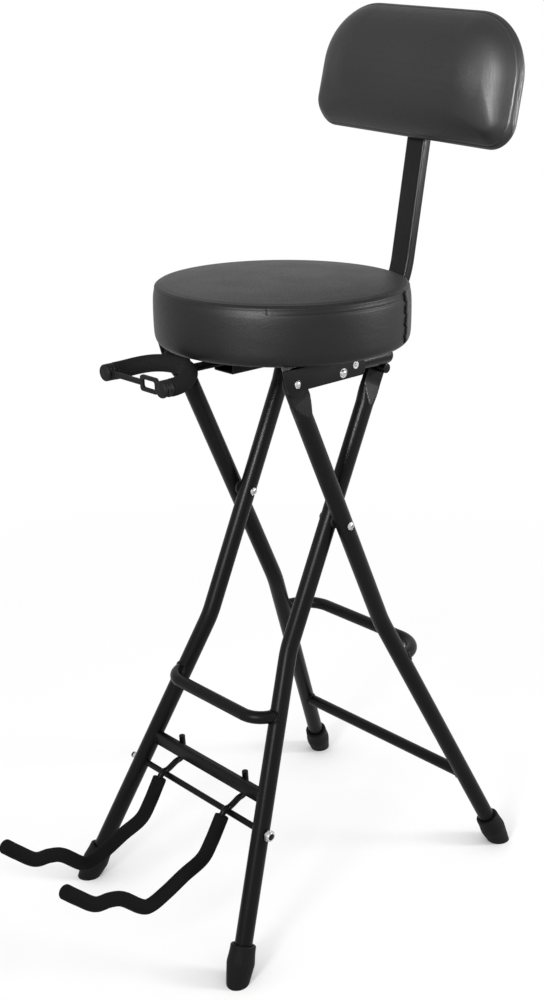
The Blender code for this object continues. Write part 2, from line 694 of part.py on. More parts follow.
def seat_base(axis):
    """Cross straps on the rails, the seat board on the straps, and the screws between them."""
    half = RAIL_X + RAIL_TUBE / 4
    spots = [(sign * STRAP_SCREW_X, y) for sign in (-1, 1) for y in (FRONT_STRAP_Y, REAR_STRAP_Y)]
    bore_top = BOARD_Z + BOARD_THICK * 0.8
    bores = [rod("screw_bore", (x, y, STRAP_Z - 0.01), (x, y, bore_top), RIVET_SHANK + GAP, 12)
             for x, y in spots]
    holes = cutter(group("seat_screw_bores", bores))
    for name, y in (("seat_strap_front", FRONT_STRAP_Y), ("seat_strap_rear", REAR_STRAP_Y)):
        piece = box(name, (-half, y - STRAP_WIDE / 2, STRAP_Z),
                    (half, y + STRAP_WIDE / 2, STRAP_Z + STRAP_THICK))
        cut(piece, holes)
        add(piece, "black_paint", axis)
    board = rod("seat_board", (0, 0, BOARD_Z), (0, 0, BOARD_Z + BOARD_THICK), BOARD_RADIUS, 40)
    cut(board, holes)
    add(board, "plywood", axis)
    names = ("front_left", "rear_left", "front_right", "rear_right")
    for name, (x, y) in zip(names, spots):
        add(bolt(f"seat_screw_{name}", (x, y, STRAP_Z - GAP), (0, 0, -1), STRAP_THICK + BOARD_THICK * 0.7,
                 RIVET_SHANK, RIVET_HEAD, RIVET_HEAD_TALL), "zinc", axis)


def seat_cushion(axis):
    """The round cushion: a crowned top, a sewn edge and sides that draw in towards the bottom."""
    rim = SEAT_THICK - SEAT_CROWN
    seam = SEAT_THICK - SEAT_SEAM
    r = SEAT_RADIUS
    recess = BOARD_RADIUS + SEAT_SKIRT_FIT
    profile = [(0, SEAT_THICK), (r * 0.33, SEAT_THICK - SEAT_CROWN * 0.07),
               (r * 0.66, SEAT_THICK - SEAT_CROWN * 0.3), (r * 0.88, SEAT_THICK - SEAT_CROWN * 0.68),
               (r * 0.955, rim), (r * 0.98, seam + 0.001), (r * 0.976, seam), (r * 0.985, seam - 0.001),
               (r * 0.997, seam - 0.008), (r, rim * 0.65), (r, rim * 0.35), (r * 0.993, rim * 0.2),
               (r - SEAT_TUCK * 0.4, 0.004), (r - SEAT_TUCK, -SEAT_SKIRT), (recess, -SEAT_SKIRT),
               (recess, 0), (0, 0)]
    frame = Matrix.Translation((0, 0, CUSHION_Z))
    add(turned("seat_cushion", profile, 48, frame), "leather", axis)


def sleeve(axis):
    """The rectangular sleeve under the seat that takes the backrest post and the yoke's stem."""
    def rectangle(wide, tall):
        return [(-wide / 2, -tall / 2), (wide / 2, -tall / 2), (wide / 2, tall / 2), (-wide / 2, tall / 2)]

    length = SLEEVE_REAR - SLEEVE_FRONT
    outlines = [rectangle(SLEEVE_WIDE, SLEEVE_TALL), rectangle(SLEEVE_WIDE - 2 * SLEEVE_WALL,
                                                               SLEEVE_TALL - 2 * SLEEVE_WALL)]
    piece = flat("backrest_sleeve", outlines, length, STANDING_ACROSS,
                 (0, (SLEEVE_FRONT + SLEEVE_REAR) / 2, POST_Z))
    for label, y in (("knob", KNOB_Y), ("stem", SLEEVE_FRONT + STEM_SCREW_IN)):
        bore = rod(f"sleeve_{label}_bore", (0, y, POST_Z - SLEEVE_TALL), (0, y, POST_Z),
                   RIVET_SHANK + GAP, 12)
        cut(piece, cutter(bore))
    add(piece, "black_paint", axis)
    under = POST_Z - SLEEVE_TALL / 2 - GAP
    stem = under - POST_Z + POST_THICK / 2 + GAP
    profile = [(0, KNOB_TALL), (KNOB_RADIUS * 0.8, KNOB_TALL), (KNOB_RADIUS, KNOB_TALL * 0.75),
               (KNOB_RADIUS, KNOB_TALL * 0.3), (KNOB_RADIUS * 0.55, 0), (RIVET_SHANK, 0), (RIVET_SHANK, stem),
               (0, stem)]
    add(turned("backrest_knob", profile, 16, along((0, KNOB_Y, under), (0, 0, -1))), "black_plastic", axis)


def post_frame():
    """The frame at the foot of the post's upright: Z along the post, -Y to the sitter."""
    turn = math.pi / 2 - POST_LEAN
    y = POST_BEND_Y + POST_BEND_RADIUS * math.sin(turn)
    z = POST_Z + POST_BEND_RADIUS * (1 - math.cos(turn))
    return Matrix.Translation((0, y, z)) @ Matrix.Rotation(-POST_LEAN, 4, 'X')


def backrest(axis):
    """The bent post, the pad's board and the pad, and the screws through the post."""
    half = POST_THICK / 2
    turn = math.pi / 2 - POST_LEAN
    centre = (POST_BEND_Y, POST_Z + POST_BEND_RADIUS)
    upright = Vector((math.sin(POST_LEAN), math.cos(POST_LEAN)))
    front = Vector((-upright.y, upright.x))
    foot_of_upright = Vector(centre) + Vector((math.sin(turn), -math.cos(turn))) * POST_BEND_RADIUS
    top = foot_of_upright + upright * POST_UPRIGHT
    outline = [(POST_TAIL_Y, POST_Z - half)]
    outline += circle(centre, POST_BEND_RADIUS + half, 9, -math.pi / 2, turn)
    outline += [tuple(top - front * half), tuple(top + front * half)]
    outline += circle(centre, POST_BEND_RADIUS - half, 9, turn - math.pi / 2, -turn)
    outline += [(POST_TAIL_Y, POST_Z + half)]
    post = flat("backrest_post", [outline], POST_WIDE, STANDING_SIDEWAYS)

    frame = post_frame()
    board_y = -half - GAP - PAD_BOARD_THICK / 2
    wide, tall = PAD_WIDE / 2 - PAD_BOARD_INSET, PAD_TALL / 2 - PAD_BOARD_INSET
    corner = PAD_BOARD_CORNER
    outline = []
    for i, (sx, sz) in enumerate(((1, 1), (-1, 1), (-1, -1), (1, -1))):
        middle = (sx * (wide - corner), sz * (tall - corner))
        outline += circle(middle, corner, 5, i * math.pi / 2, math.pi / 2)
    pad_frame = frame @ Matrix.Translation((PAD_SHIFT, 0, PAD_ALONG)) @ Matrix.Rotation(PAD_ROLL, 4, 'Y')
    board = flat("backrest_board", [outline], PAD_BOARD_THICK, STANDING_ACROSS, (0, board_y, 0))
    board.matrix_basis = pad_frame
    heights = [PAD_ALONG + step * PAD_SCREW_STEP / 2 for step in (-1, 1)]
    bores = [rod("pad_bore", (0, 0.02, h), (0, board_y - PAD_BOARD_THICK * 0.3, h), RIVET_SHANK + GAP, 12)
             for h in heights]
    holes = group("pad_screw_bores", bores)
    holes.matrix_basis = frame
    cutter(holes)
    cut(post, holes)
    cut(board, holes)
    add(post, "black_paint", axis)
    add(board, "plywood", axis)
    for label, h in zip(("lower", "upper"), heights):
        screw = bolt(f"backrest_screw_{label}", (0, half + GAP, h), (0, 1, 0),
                     POST_THICK + PAD_BOARD_THICK * 0.7, RIVET_SHANK, RIVET_HEAD, RIVET_HEAD_TALL)
        screw.matrix_basis = frame @ screw.matrix_basis
        add(screw, "zinc", axis)
    pad = backrest_pad(board_y - PAD_BOARD_THICK / 2 - GAP)
    pad.matrix_basis = pad_frame
    add(pad, "leather", axis)


def pad_outline(inset):
    """The pad's rim seen from the front, drawn in by an inset: points as (x, z)."""
    spots = []
    corners = ((1, 1, PAD_TOP_CORNER), (-1, 1, PAD_TOP_CORNER),
               (-1, -1, PAD_LOW_CORNER), (1, -1, PAD_LOW_CORNER))
    for i, (sx, sz, corner) in enumerate(corners):
        radius = max(corner - inset, PAD_TOP_CORNER / 12)
        centre = (sx * (PAD_WIDE / 2 - inset - radius), sz * (PAD_TALL / 2 - inset - radius))
        spots += circle(centre, radius, 9, i * math.pi / 2, math.pi / 2)
    return [(x * (1 - PAD_TAPER * 2 * z / PAD_TALL), z) for x, z in spots]


def backrest_pad(back_y):
    """A pillow-shaped pad: rings from the middle of its crowned front, round the rim, to its flat back."""
    form = bmesh.new()
    front_y = back_y - PAD_SECTION[-1][1]
    rings = [[form.verts.new((x, front_y + depth, z)) for x, z in pad_outline(inset)]
             for inset, depth in PAD_SECTION]
    for ahead, behind in zip(rings, rings[1:]):
        for i in range(len(ahead)):
            form.faces.new((ahead[i - 1], ahead[i], behind[i], behind[i - 1]))
    form.faces.new(rings[0])
    form.faces.new(rings[-1])
    bmesh.ops.recalc_face_normals(form, faces=form.faces)
    return mesh_object("backrest_pad", form)


def yoke(axis, band_axis):
    """The padded neck yoke on its flat stem, with end caps and the rubber band between them."""
    turns = [math.pi * i / 12 for i in range(13)]
    bow_y = YOKE_BASE_Y - YOKE_BOW
    bow = [Vector((-YOKE_HALF_WIDE * math.cos(a), bow_y + YOKE_BOW * math.sin(a),
                   YOKE_Z + YOKE_RISE * (1 - math.cos(a) ** 4))) for a in turns]
    left_tip = Vector((-YOKE_HALF_WIDE, YOKE_TIP_Y, YOKE_Z))
    right_tip = Vector((YOKE_HALF_WIDE, YOKE_TIP_Y, YOKE_Z))
    path = [left_tip] + bow + [right_tip]
    ahead = Vector((0, GAP, 0))
    add(tube("yoke_rod", [left_tip + ahead] + bow + [right_tip + ahead], ROD_RADIUS, 8), "black_paint", axis)
    foam = tube("yoke_foam", path, YOKE_FOAM_RADIUS, 12)
    past = Vector((0, -0.005, 0))
    bore_path = [left_tip + past] + bow + [right_tip + past]
    cut(foam, cutter(tube("yoke_foam_bore", bore_path, ROD_RADIUS + GAP, 8)))

    front, rear = YOKE_BASE_Y - ROD_RADIUS, SLEEVE_FRONT + STEM_TAIL
    half = Vector((STEM_WIDE / 2, 0, STEM_THICK / 2))
    stem = box("yoke_stem", Vector((0, front, YOKE_Z)) - half, Vector((0, rear, YOKE_Z)) + half)
    room = STEM_WIDE / 2 + GAP
    slot = box("yoke_foam_slot", (-room, front - GAP, YOKE_Z - YOKE_FOAM_RADIUS),
               (room, rear, YOKE_Z + YOKE_RISE - ROD_RADIUS / 2))
    cut(foam, cutter(slot))
    add(foam, "foam", axis)
    screw_y = SLEEVE_FRONT + STEM_SCREW_IN
    bore = rod("stem_bore", (0, screw_y, YOKE_Z - 0.02), (0, screw_y, YOKE_Z + 0.02), RIVET_SHANK + GAP, 12)
    cut(stem, cutter(bore))
    add(stem, "black_paint", axis)
    under = POST_Z - SLEEVE_TALL / 2 - GAP
    add(bolt("yoke_stem_screw", (0, screw_y, under), (0, 0, -1), YOKE_Z + STEM_THICK / 2 - under,
             RIVET_SHANK, RIVET_HEAD, RIVET_HEAD_TALL), "zinc", axis)

    neck = BAND_THICK + 2 * GAP
    profile = [(0, 2 * CAP_FLANGE + neck), (CAP_RADIUS * 0.85, 2 * CAP_FLANGE + neck),
               (CAP_RADIUS, CAP_FLANGE * 1.6 + neck), (CAP_RADIUS, CAP_FLANGE + neck),
               (CAP_NECK, CAP_FLANGE + neck), (CAP_NECK, CAP_FLANGE), (CAP_RADIUS, CAP_FLANGE),
               (CAP_RADIUS, 0), (0, 0)]
    for side, tip in (("left", left_tip), ("right", right_tip)):
        add(turned(f"yoke_cap_{side}", profile, 20, along(tip - ahead, (0, -1, 0))), "rubber", axis)
    yoke_band(band_axis)


def yoke_band(axis):
    """The rubber band that keeps the neck in: an eye, a strip, a finger loop and an open hook."""
    hole = CAP_NECK + GAP
    wide = 2 * YOKE_HALF_WIDE
    loop_mid = wide - LOOP_FROM_EYE
    near, far = loop_mid - LOOP_WIDE / 2, loop_mid + LOOP_WIDE / 2
    strip = BAND_TALL / 2
    tall = LOOP_TALL / 2
    start = math.asin(strip / EYE_RADIUS)
    eye = circle((0, 0), EYE_RADIUS, 13, start, 2 * math.pi - 2 * start)
    hook_outer = circle((wide, 0), EYE_RADIUS, 9, math.pi - start, -(1.5 * math.pi - start - math.radians(5)))
    hook_inner = circle((wide, 0), hole, 7, 0, math.pi)
    outline = [(near, strip), (near, tall), (far, tall), (far, strip)] + hook_outer[:6]
    outline += [(wide + EYE_RADIUS, -EYE_RADIUS * 0.6), (wide + hole, -EYE_RADIUS * 0.6)] + hook_inner
    outline += [(wide - hole, -EYE_RADIUS * 0.6), (wide - EYE_RADIUS, -strip), (far, -strip), (far, -tall),
                (near, -tall), (near, -strip)]
    outline = outline + list(reversed(eye))
    window = [(near + LOOP_WALL, tall - LOOP_WALL), (far - LOOP_WALL, tall - LOOP_WALL),
              (far - LOOP_WALL, LOOP_WALL - tall), (near + LOOP_WALL, LOOP_WALL - tall)]
    piece = flat("yoke_band", [outline, window, circle((0, 0), hole, 16)], BAND_THICK, STANDING_ACROSS,
                 (-YOKE_HALF_WIDE, BAND_Y, YOKE_Z))
    add(piece, "rubber", axis)


def settle():
    """Put the origin on the floor, under the middle of the chair's box."""
    bpy.context.view_layer.update()
    graph = bpy.context.evaluated_depsgraph_get()
    low, high = Vector((9, 9, 9)), Vector((-9, -9, -9))
    for piece in PARTS.objects:
        if piece.type == 'MESH':
            form = piece.evaluated_get(graph)
            for spot in form.data.vertices:
                place = form.matrix_world @ spot.co
                low = Vector(map(min, low, place))
                high = Vector(map(max, high, place))
    ORIGIN.location = (-(low.x + high.x) / 2, -(low.y + high.y) / 2, -low.z)


def main():
    front_axis = axis_empty("fold_axis", Vector((0, CROSS_Y, CROSS_HEIGHT)))
    seat_axis = axis_empty("seat_axis", Vector((0, SEAT_PIVOT_Y, SEAT_PIVOT_HEIGHT)))
    cradle_axis = axis_empty("cradle_axis", leg_point("front", "right", AXLE_HEIGHT) * Vector((0, 1, 1)))
    band_axis = axis_empty("band_axis", Vector((-YOKE_HALF_WIDE, BAND_Y, YOKE_Z)))
    backrest_axis = axis_empty("backrest_axis", Vector((0, SLEEVE_REAR, POST_Z)))
    axes = {"front": front_axis, "rear": None}
    rests = {"front": (FRONT_REST_HEIGHT, FRONT_REST_REACH, FRONT_REST_CORNER),
             "rear": (REAR_REST_HEIGHT, REAR_REST_REACH, REAR_REST_CORNER)}
    for frame, axis in axes.items():
        rooms = leg_room(frame)
        for side in SIDES:
            leg(frame, side, axis)
            foot(frame, side, axis)
        footrest(frame, *rests[frame], axis, rooms)
        if frame == "front":
            front_bar(axis, rooms)
        else:
            cross_tube("rear_cross_tube", frame, REAR_BAR_HEIGHT, axis, rooms)
    cross_pivot()
    support_rod(front_axis)
    cradle(cradle_axis)
    rails(seat_axis)
    side_plates(seat_axis)
    seat_base(seat_axis)
    seat_cushion(seat_axis)
    sleeve(seat_axis)
    yoke(seat_axis, band_axis)
    backrest(backrest_axis)
    settle()


main()
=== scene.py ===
"""Dresses the folding guitar chair: smooth tubes, upholstery, foam, rubber, fasteners and a white studio.

Sizes are in metres. Shapes are drawn from the seat's centre line, and moved to the CAD frame when they
are finished.
"""

import math

import bmesh
import bpy
from bpy.props import FloatProperty, FloatVectorProperty, IntProperty, PointerProperty
from mathutils import Matrix, Vector
from mathutils.kdtree import KDTree


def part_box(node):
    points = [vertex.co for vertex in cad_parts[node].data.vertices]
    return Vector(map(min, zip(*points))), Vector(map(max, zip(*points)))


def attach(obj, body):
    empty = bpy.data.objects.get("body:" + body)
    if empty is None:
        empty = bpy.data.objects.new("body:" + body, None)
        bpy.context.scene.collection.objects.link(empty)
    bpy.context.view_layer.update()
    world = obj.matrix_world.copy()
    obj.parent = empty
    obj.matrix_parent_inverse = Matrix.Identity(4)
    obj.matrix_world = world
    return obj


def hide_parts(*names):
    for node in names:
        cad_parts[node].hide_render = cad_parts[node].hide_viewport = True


bl_info = {
    "name": "Folding guitar chair",
    "version": (1, 0, 0),
    "blender": (4, 5, 0),
    "location": "3D View > Sidebar > Guitar chair",
    "description": "Builds the visible pieces of a folding guitar chair round its CAD frame",
    "category": "Object",
}

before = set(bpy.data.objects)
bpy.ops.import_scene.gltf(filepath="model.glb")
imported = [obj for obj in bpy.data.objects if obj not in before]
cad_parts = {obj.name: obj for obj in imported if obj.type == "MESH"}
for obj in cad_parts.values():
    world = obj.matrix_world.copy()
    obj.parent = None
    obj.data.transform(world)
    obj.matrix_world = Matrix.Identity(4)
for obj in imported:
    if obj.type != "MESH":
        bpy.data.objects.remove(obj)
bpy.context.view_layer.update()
SEAT_LOW, SEAT_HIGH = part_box("seat_cushion")
SEAT_Y = (SEAT_LOW.y + SEAT_HIGH.y) / 2
TO_FRAME = Matrix.Translation((0, SEAT_Y, 0))
SIDES = {"left": -1, "right": 1}
X_AXIS = Vector((1, 0, 0))
GAP = 0.0003                     # clearance between pieces

# Legs and bars
LEG_R = 0.011
CROSS_Y = 0.0033
CROSS_HEIGHT = 0.517
LEAN = 0.2332 / CROSS_HEIGHT     # a leg's run per metre of height
INNER_LEG_X = 0.0745
OUTER_LEG_X = 0.100
BEND_RADIUS = 0.120
FLAT_WIDTH = 0.030
FLAT_THICK = 0.006
FLAT_BELOW = 0.022
FLAT_TAPER = 0.024
FOOT_LENGTH = 0.047
FOOT_SOLE = 0.014
FOOT_RADIUS = 0.0172
FOOT_TOP_RADIUS = 0.0156
FOOT_LIP = 0.001                 # rounding of the cup's rim
FOOT_WELL = 0.006                # depth of the open top that shows round the leg
REST_R = 0.008
REAR_BAR_HEIGHT = 0.118
FRONT_BAR_HEIGHT = 0.200
FRONT_BAR_TALL = 0.018
FRONT_BAR_DEEP = 0.010
FRONT_BAR_CORNER = 0.0022

# Seat mount
PLATE_THICK = 0.003
PLATE_REAR = 0.026
PLATE_AHEAD = 0.0205             # of the pivot
PLATE_LOBE = 0.015               # radius round the pivot
PLATE_OUTER = OUTER_LEG_X + LEG_R
PLATE_INNER = PLATE_OUTER - PLATE_THICK
LEG_END_X = PLATE_INNER - GAP - FLAT_THICK / 2
RAIL_R = 0.010
RAIL_X = LEG_END_X - FLAT_THICK / 2 - GAP - RAIL_R
PIVOT_HEIGHT = 0.705
PIVOT_Y = CROSS_Y - (PIVOT_HEIGHT - CROSS_HEIGHT) * LEAN
RAIL_Z = PIVOT_HEIGHT + 0.0025
RAIL_FRONT = PIVOT_Y + 0.016
RAIL_REAR = 0.080
RAIL_DOME = 0.007
RAIL_EDGE = 0.0065
SUPPORT_R = 0.006
SUPPORT_END = RAIL_X + 0.0015
SUPPORT_Z = RAIL_Z - RAIL_R - GAP - SUPPORT_R
STRAP_Z = RAIL_Z + RAIL_R + GAP
STRAP_THICK = 0.0044
STRAP_WIDE = 0.030
STRAP_CORNER = 0.004
STRAP_YS = {"front": -0.048, "rear": 0.052}
STRAP_SCREW_X = 0.050
BOARD_Z = STRAP_Z + STRAP_THICK + GAP
BOARD_THICK = 0.006
BOARD_RADIUS = 0.125
BOARD_EDGE = 0.0008
CUSHION_Z = BOARD_Z + BOARD_THICK + GAP
PLATE_BOLT_Y = -0.010
RIVET_Y = 0.010
RIVET_Z = RAIL_Z + 0.0035
BOLT_SHANK = 0.003
BOLT_HEAD = 0.0045               # head sizes are radii
CROSS_HEAD = 0.0052
TAIL_HEAD = BOLT_HEAD * 0.8
TAIL_SHANK = 0.001               # length of a tail end's shank
SPACER_RADIUS = 0.0055
RIVET_SHANK = 0.0022
RIVET_HEAD = 0.0032
SIDE_RIVET_HEAD = RIVET_HEAD * 0.7

# Seat cushion
SEAT_RADIUS = 0.153
SEAT_THICK = 0.0693
SEAT_SEAM = SEAT_THICK - 0.0056
SEAT_SKIRT = 0.0033
SEAT_RECESS = BOARD_RADIUS + 0.0015
TICK_ANGLE = math.radians(-48.8)
FLAP_ANGLE = math.radians(24.5)
FLAP_WIDE = 0.012
FLAP_RISE = 0.0015
FLAP_REACH = 0.03                # either side of the cut edge
SEAM_WIDE = 0.0009
LIP_BELOW = 0.0027               # the lip and the crease, below the seam
LIP_WIDE = 0.0014
CREASE_BELOW = 0.0095
CREASE_WIDE = 0.0013
TICK_WIDE = 0.0010
TICK_LONG = 0.009
TOP_PANEL = 0.12                 # the cover inside this radius isn't sewn
STAPLE_INSET = 0.007
STAPLE_RADIUS = 0.0005
SEAT_VOXEL = 0.006               # cell size of the cloth's mesh
PAD_VOXEL = 0.005
CLOTH_STEPS = 20
CLOTH_NEAR = 8                   # points of the cloth that carry one point of a cover

# Backrest
POST_WIDE = 0.030
POST_THICK = 0.013
POST_CORNER = 0.0026
POST_TAIL_Y = -0.030
POST_BEND_Y = 0.104
POST_BEND_RADIUS = 0.105
POST_LEAN = math.radians(10)
POST_UPRIGHT = 0.262
SLEEVE_WALL = 0.0015
SLEEVE_EDGE = 0.0003
SLEEVE_FRONT = -0.093
SLEEVE_REAR = 0.095
SLEEVE_PLAY = 0.0004             # round the post
SLEEVE_TALL = POST_THICK + 2 * (SLEEVE_PLAY + SLEEVE_WALL)
SLEEVE_WIDE = POST_WIDE + 2 * (SLEEVE_PLAY + SLEEVE_WALL)
POST_Z = STRAP_Z - GAP - SLEEVE_TALL / 2
KNOB_Y = 0.030
KNOB_RADIUS = 0.012
KNOB_TALL = 0.012
PAD_WIDE = 0.314
PAD_TALL = 0.147
PAD_TOP_CORNER = 0.073
PAD_LOW_CORNER = 0.0315
PAD_TAPER = 0.016
PAD_ALONG = 0.2178               # up the post to the pad's middle
PAD_SHIFT = 0.007
PAD_ROLL = math.radians(3.2)
# inset from the pad's rim, and depth behind its front
PAD_SECTION = [(0.066, 0.0), (0.055, 0.002), (0.045, 0.0045), (0.036, 0.007), (0.028, 0.010),
               (0.021, 0.0135), (0.015, 0.018), (0.010, 0.023), (0.006, 0.0285), (0.003, 0.033),
               (0.001, 0.037), (0.0, 0.040), (0.001, 0.0435), (0.0035, 0.0462), (0.008, 0.048)]
PAD_SEAM = 9                     # the section's point on the sewn rim
PAD_PROUD = 0.001                # the cover outside the CAD outline
PAD_THICK = PAD_SECTION[-1][1]
PAD_BOARD_THICK = 0.009
PAD_BOARD_INSET = 0.030
PAD_BOARD_CORNER = 0.020
PAD_BOARD_EDGE = 0.0012
PAD_SCREW_STEP = 0.050
PAD_BACK_Y = -POST_THICK / 2 - GAP - PAD_BOARD_THICK - GAP

# Neck yoke and its band
ROD_R = 0.004
YOKE_BASE_Y = -0.158
YOKE_HALF_WIDE = 0.0502
YOKE_BOW = 0.0485
YOKE_ARM = 0.004
YOKE_FOAM_R = 0.0098
STEM_THICK = 0.004
YOKE_Z = POST_Z + POST_THICK / 2 + SLEEVE_PLAY - GAP - STEM_THICK / 2
YOKE_TIP_Y = YOKE_BASE_Y - YOKE_BOW - YOKE_ARM
STEM_WIDE = 0.020
STEM_CORNER = 0.003
STEM_EDGE = 0.0008
STEM_TAIL = 0.048
STEM_SCREW_Y = SLEEVE_FRONT + 0.022
YOKE_RISE = STEM_THICK / 2 + GAP + ROD_R
CAP_RADIUS = 0.0095
CAP_NECK = 0.0055
CAP_FLANGE = 0.004
CAP_EDGE = 0.0006
BAND_THICK = 0.004
BAND_TALL = 0.006
BAND_EDGE = 0.0009
EYE_RADIUS = 0.0095
LOOP_WIDE = 0.030
LOOP_TALL = 0.018
LOOP_WALL = 0.0045
LOOP_FROM_EYE = 0.026
LOOP_CORNER = 0.004
HOOK_EDGE = 0.0008
BAND_Y = YOKE_TIP_Y - GAP - CAP_FLANGE - GAP - BAND_THICK / 2

# Guitar cradle
AXLE_HEIGHT = FRONT_BAR_HEIGHT - 0.035
ARM_X = 0.062
ARM_FOAM_R = 0.009
ARM_TIP_FOAM = 0.004
NUT_ACROSS = 0.013
NUT_TALL = 0.006
NUT_STAND_OFF = LEG_R + 0.0022
LEFT_NUT_SHARE = 0.62            # the left nut shows less in the photograph
ARM_STEPS = 8
FOAM_FROM = ARM_STEPS * 9 // 2   # the foam starts halfway along the arm's fifth bend, as the CAD sleeve does
# ahead of the axle and above it
ARM_BENDS = [(0.010, 0.0078), (0.0185, -0.005), (0.033, -0.028), (0.048, -0.045), (0.077, -0.0545),
             (0.104, -0.065), (0.128, -0.0715), (0.1425, -0.0665), (0.168, -0.0425), (0.186, -0.0345),
             (0.2065, -0.030), (0.2285, -0.0095), (0.242, 0.0045)]

LEGS = {
    "front": {"lean": 1, "x": INNER_LEG_X, "foot_x": 0.1543, "bend": 0.3637, "hole_z": SUPPORT_Z,
              "end_x": INNER_LEG_X, "body": "front_frame"},
    "rear": {"lean": -1, "x": OUTER_LEG_X, "foot_x": 0.182, "bend": 0.3666, "hole_z": PIVOT_HEIGHT,
             "end_x": LEG_END_X, "body": "rear_frame"},
}
RESTS = {"front": {"height": 0.293, "reach": 0.031, "corner": 0.030},
         "rear": {"height": 0.311, "reach": 0.046, "corner": 0.042}}

# Camera of the photograph, measured from the seat's centre line
EYE = Vector((1.154, -1.060, 1.080))
EYE_AZIMUTH = math.radians(45.54)
EYE_RISE = math.radians(22.81)
LENS = 48.03
SENSOR = 36
FAR_CLIP = 200
SHIFT_X = -0.0547
SHIFT_Y = 0.0747

# Floor
FLOOR_HALF = 60.0
FLOOR_NEAR = 0.3                 # radius in which the floor takes its full shade
FOOT_CONTACT = 0.02


class ChairColours(bpy.types.PropertyGroup):
    """Colours of the chair's finishes"""
    paint: FloatVectorProperty(name="Paint", description="Powder coat on the steel", subtype='COLOR',
                               min=0, max=1, default=(0.0026, 0.0026, 0.0028))
    leather: FloatVectorProperty(name="Leather", description="Cover of seat and backrest", subtype='COLOR',
                                 min=0, max=1, default=(0.0040, 0.0040, 0.0042))
    foam: FloatVectorProperty(name="Foam", description="Sleeves on the yoke and the cradle", subtype='COLOR',
                              min=0, max=1, default=(0.0034, 0.0034, 0.0036))
    rubber: FloatVectorProperty(name="Rubber", description="Feet, end caps and neck band", subtype='COLOR',
                                min=0, max=1, default=(0.0038, 0.0038, 0.0040))
    zinc: FloatVectorProperty(name="Zinc", description="Plated bolts, screws and nuts", subtype='COLOR',
                              min=0, max=1, default=(0.50, 0.50, 0.51))
    plastic: FloatVectorProperty(name="Plastic", description="Knob and washers", subtype='COLOR',
                                 min=0, max=1, default=(0.0080, 0.0080, 0.0083))
    board: FloatVectorProperty(name="Board", description="Boards behind the cushions", subtype='COLOR',
                               min=0, max=1, default=(0.020, 0.018, 0.016))


class ChairDetails(bpy.types.PropertyGroup):
    """Sizes of the details that are added to the CAD shapes"""
    edge: FloatProperty(name="Plate edge", description="Rounding of sheet metal edges", unit='LENGTH',
                        min=0.0001, max=0.0014, default=0.0006)
    slot: FloatProperty(name="Screw slot", description="Slot width as a share of a screw head's width",
                        subtype='FACTOR', min=0.05, max=0.4, default=0.17)
    bead: FloatProperty(name="Weld bead", description="Radius of the beads round a weld", unit='LENGTH',
                        min=0.0005, max=0.003, default=0.0014)
    stitch: FloatProperty(name="Stitch", description="Length of a stitch on the seat's seam", unit='LENGTH',
                          min=0.001, max=0.01, default=0.0034)
    thread: FloatProperty(name="Thread", description="Radius of the sewing thread", unit='LENGTH',
                          min=0.0001, max=0.001, default=0.00035)
    staple: FloatProperty(name="Staple", description="Width of the staples in the boards", unit='LENGTH',
                          min=0.003, max=0.02, default=0.010)
    seam: FloatProperty(name="Seam depth", description="Depth of the sewn grooves", unit='LENGTH',
                        min=0.0002, max=0.003, default=0.0011)
    swell: FloatProperty(name="Swell", description="Furthest that a cover may swell", unit='LENGTH',
                         min=0.001, max=0.016, default=0.005)
    grain: FloatProperty(name="Leather grain", description="Width of a leather grain cell", unit='LENGTH',
                         min=0.0004, max=0.004, default=0.0013)
    foot_ribs: IntProperty(name="Foot ribs", description="Ribs round a foot", min=8, max=40, default=24)
    knob_ribs: IntProperty(name="Knob ribs", description="Ribs round the knob", min=4, max=24, default=10)


class StudioLight(bpy.types.PropertyGroup):
    """Light and floor of the studio"""
    floor: FloatVectorProperty(name="Floor", description="Floor colour", subtype='COLOR', min=0, max=1,
                               default=(0.62, 0.62, 0.62))
    shade: FloatProperty(name="Floor shade", description="Share of the near floor that takes shadows",
                         subtype='FACTOR', min=0, max=1, default=0.35)
    spread: FloatProperty(name="Shade spread", description="Distance over which the floor turns plain white",
                          unit='LENGTH', min=0.1, max=10, default=1.3)
    contact: FloatProperty(name="Contact shade", description="Reach of the full shadow round a foot",
                           unit='LENGTH', min=0.02, max=1, default=0.18)
    sky: FloatProperty(name="Sky", description="Light from all round", min=0, max=2, default=1.25)
    key: FloatProperty(name="Key light", description="Power of the lamp in front", subtype='POWER',
                       min=0, default=7)
    high: FloatProperty(name="High light", description="Power of the narrow lamp on the backrest",
                        subtype='POWER', min=0, default=5)
    side: FloatProperty(name="Side light", description="Power of the lamp behind at the right",
                        subtype='POWER', min=0, default=10)
    rim: FloatProperty(name="Rim light", description="Power of the narrow lamp on the backrest's right end",
                       subtype='POWER', min=0, default=1.1)


# Shapes

def new_object(name, data):
    """A new object in the scene."""
    piece = bpy.data.objects.new(name, data)
    bpy.context.scene.collection.objects.link(piece)
    return piece


def finished_mesh(name, form):
    """A mesh from a bmesh, which is freed."""
    mesh = bpy.data.meshes.new(name)
    form.to_mesh(mesh)
    form.free()
    return mesh


def new_piece(name, form):
    """An object from a finished bmesh, with its faces turned outwards."""
    bmesh.ops.recalc_face_normals(form, faces=form.faces)
    return new_object(name, finished_mesh(name, form))


def shade(piece, angle):
    """Smooth shading, with sharp edges above an angle in degrees."""
    piece.data.shade_smooth()
    piece.data.set_sharp_from_angle(angle=math.radians(angle))


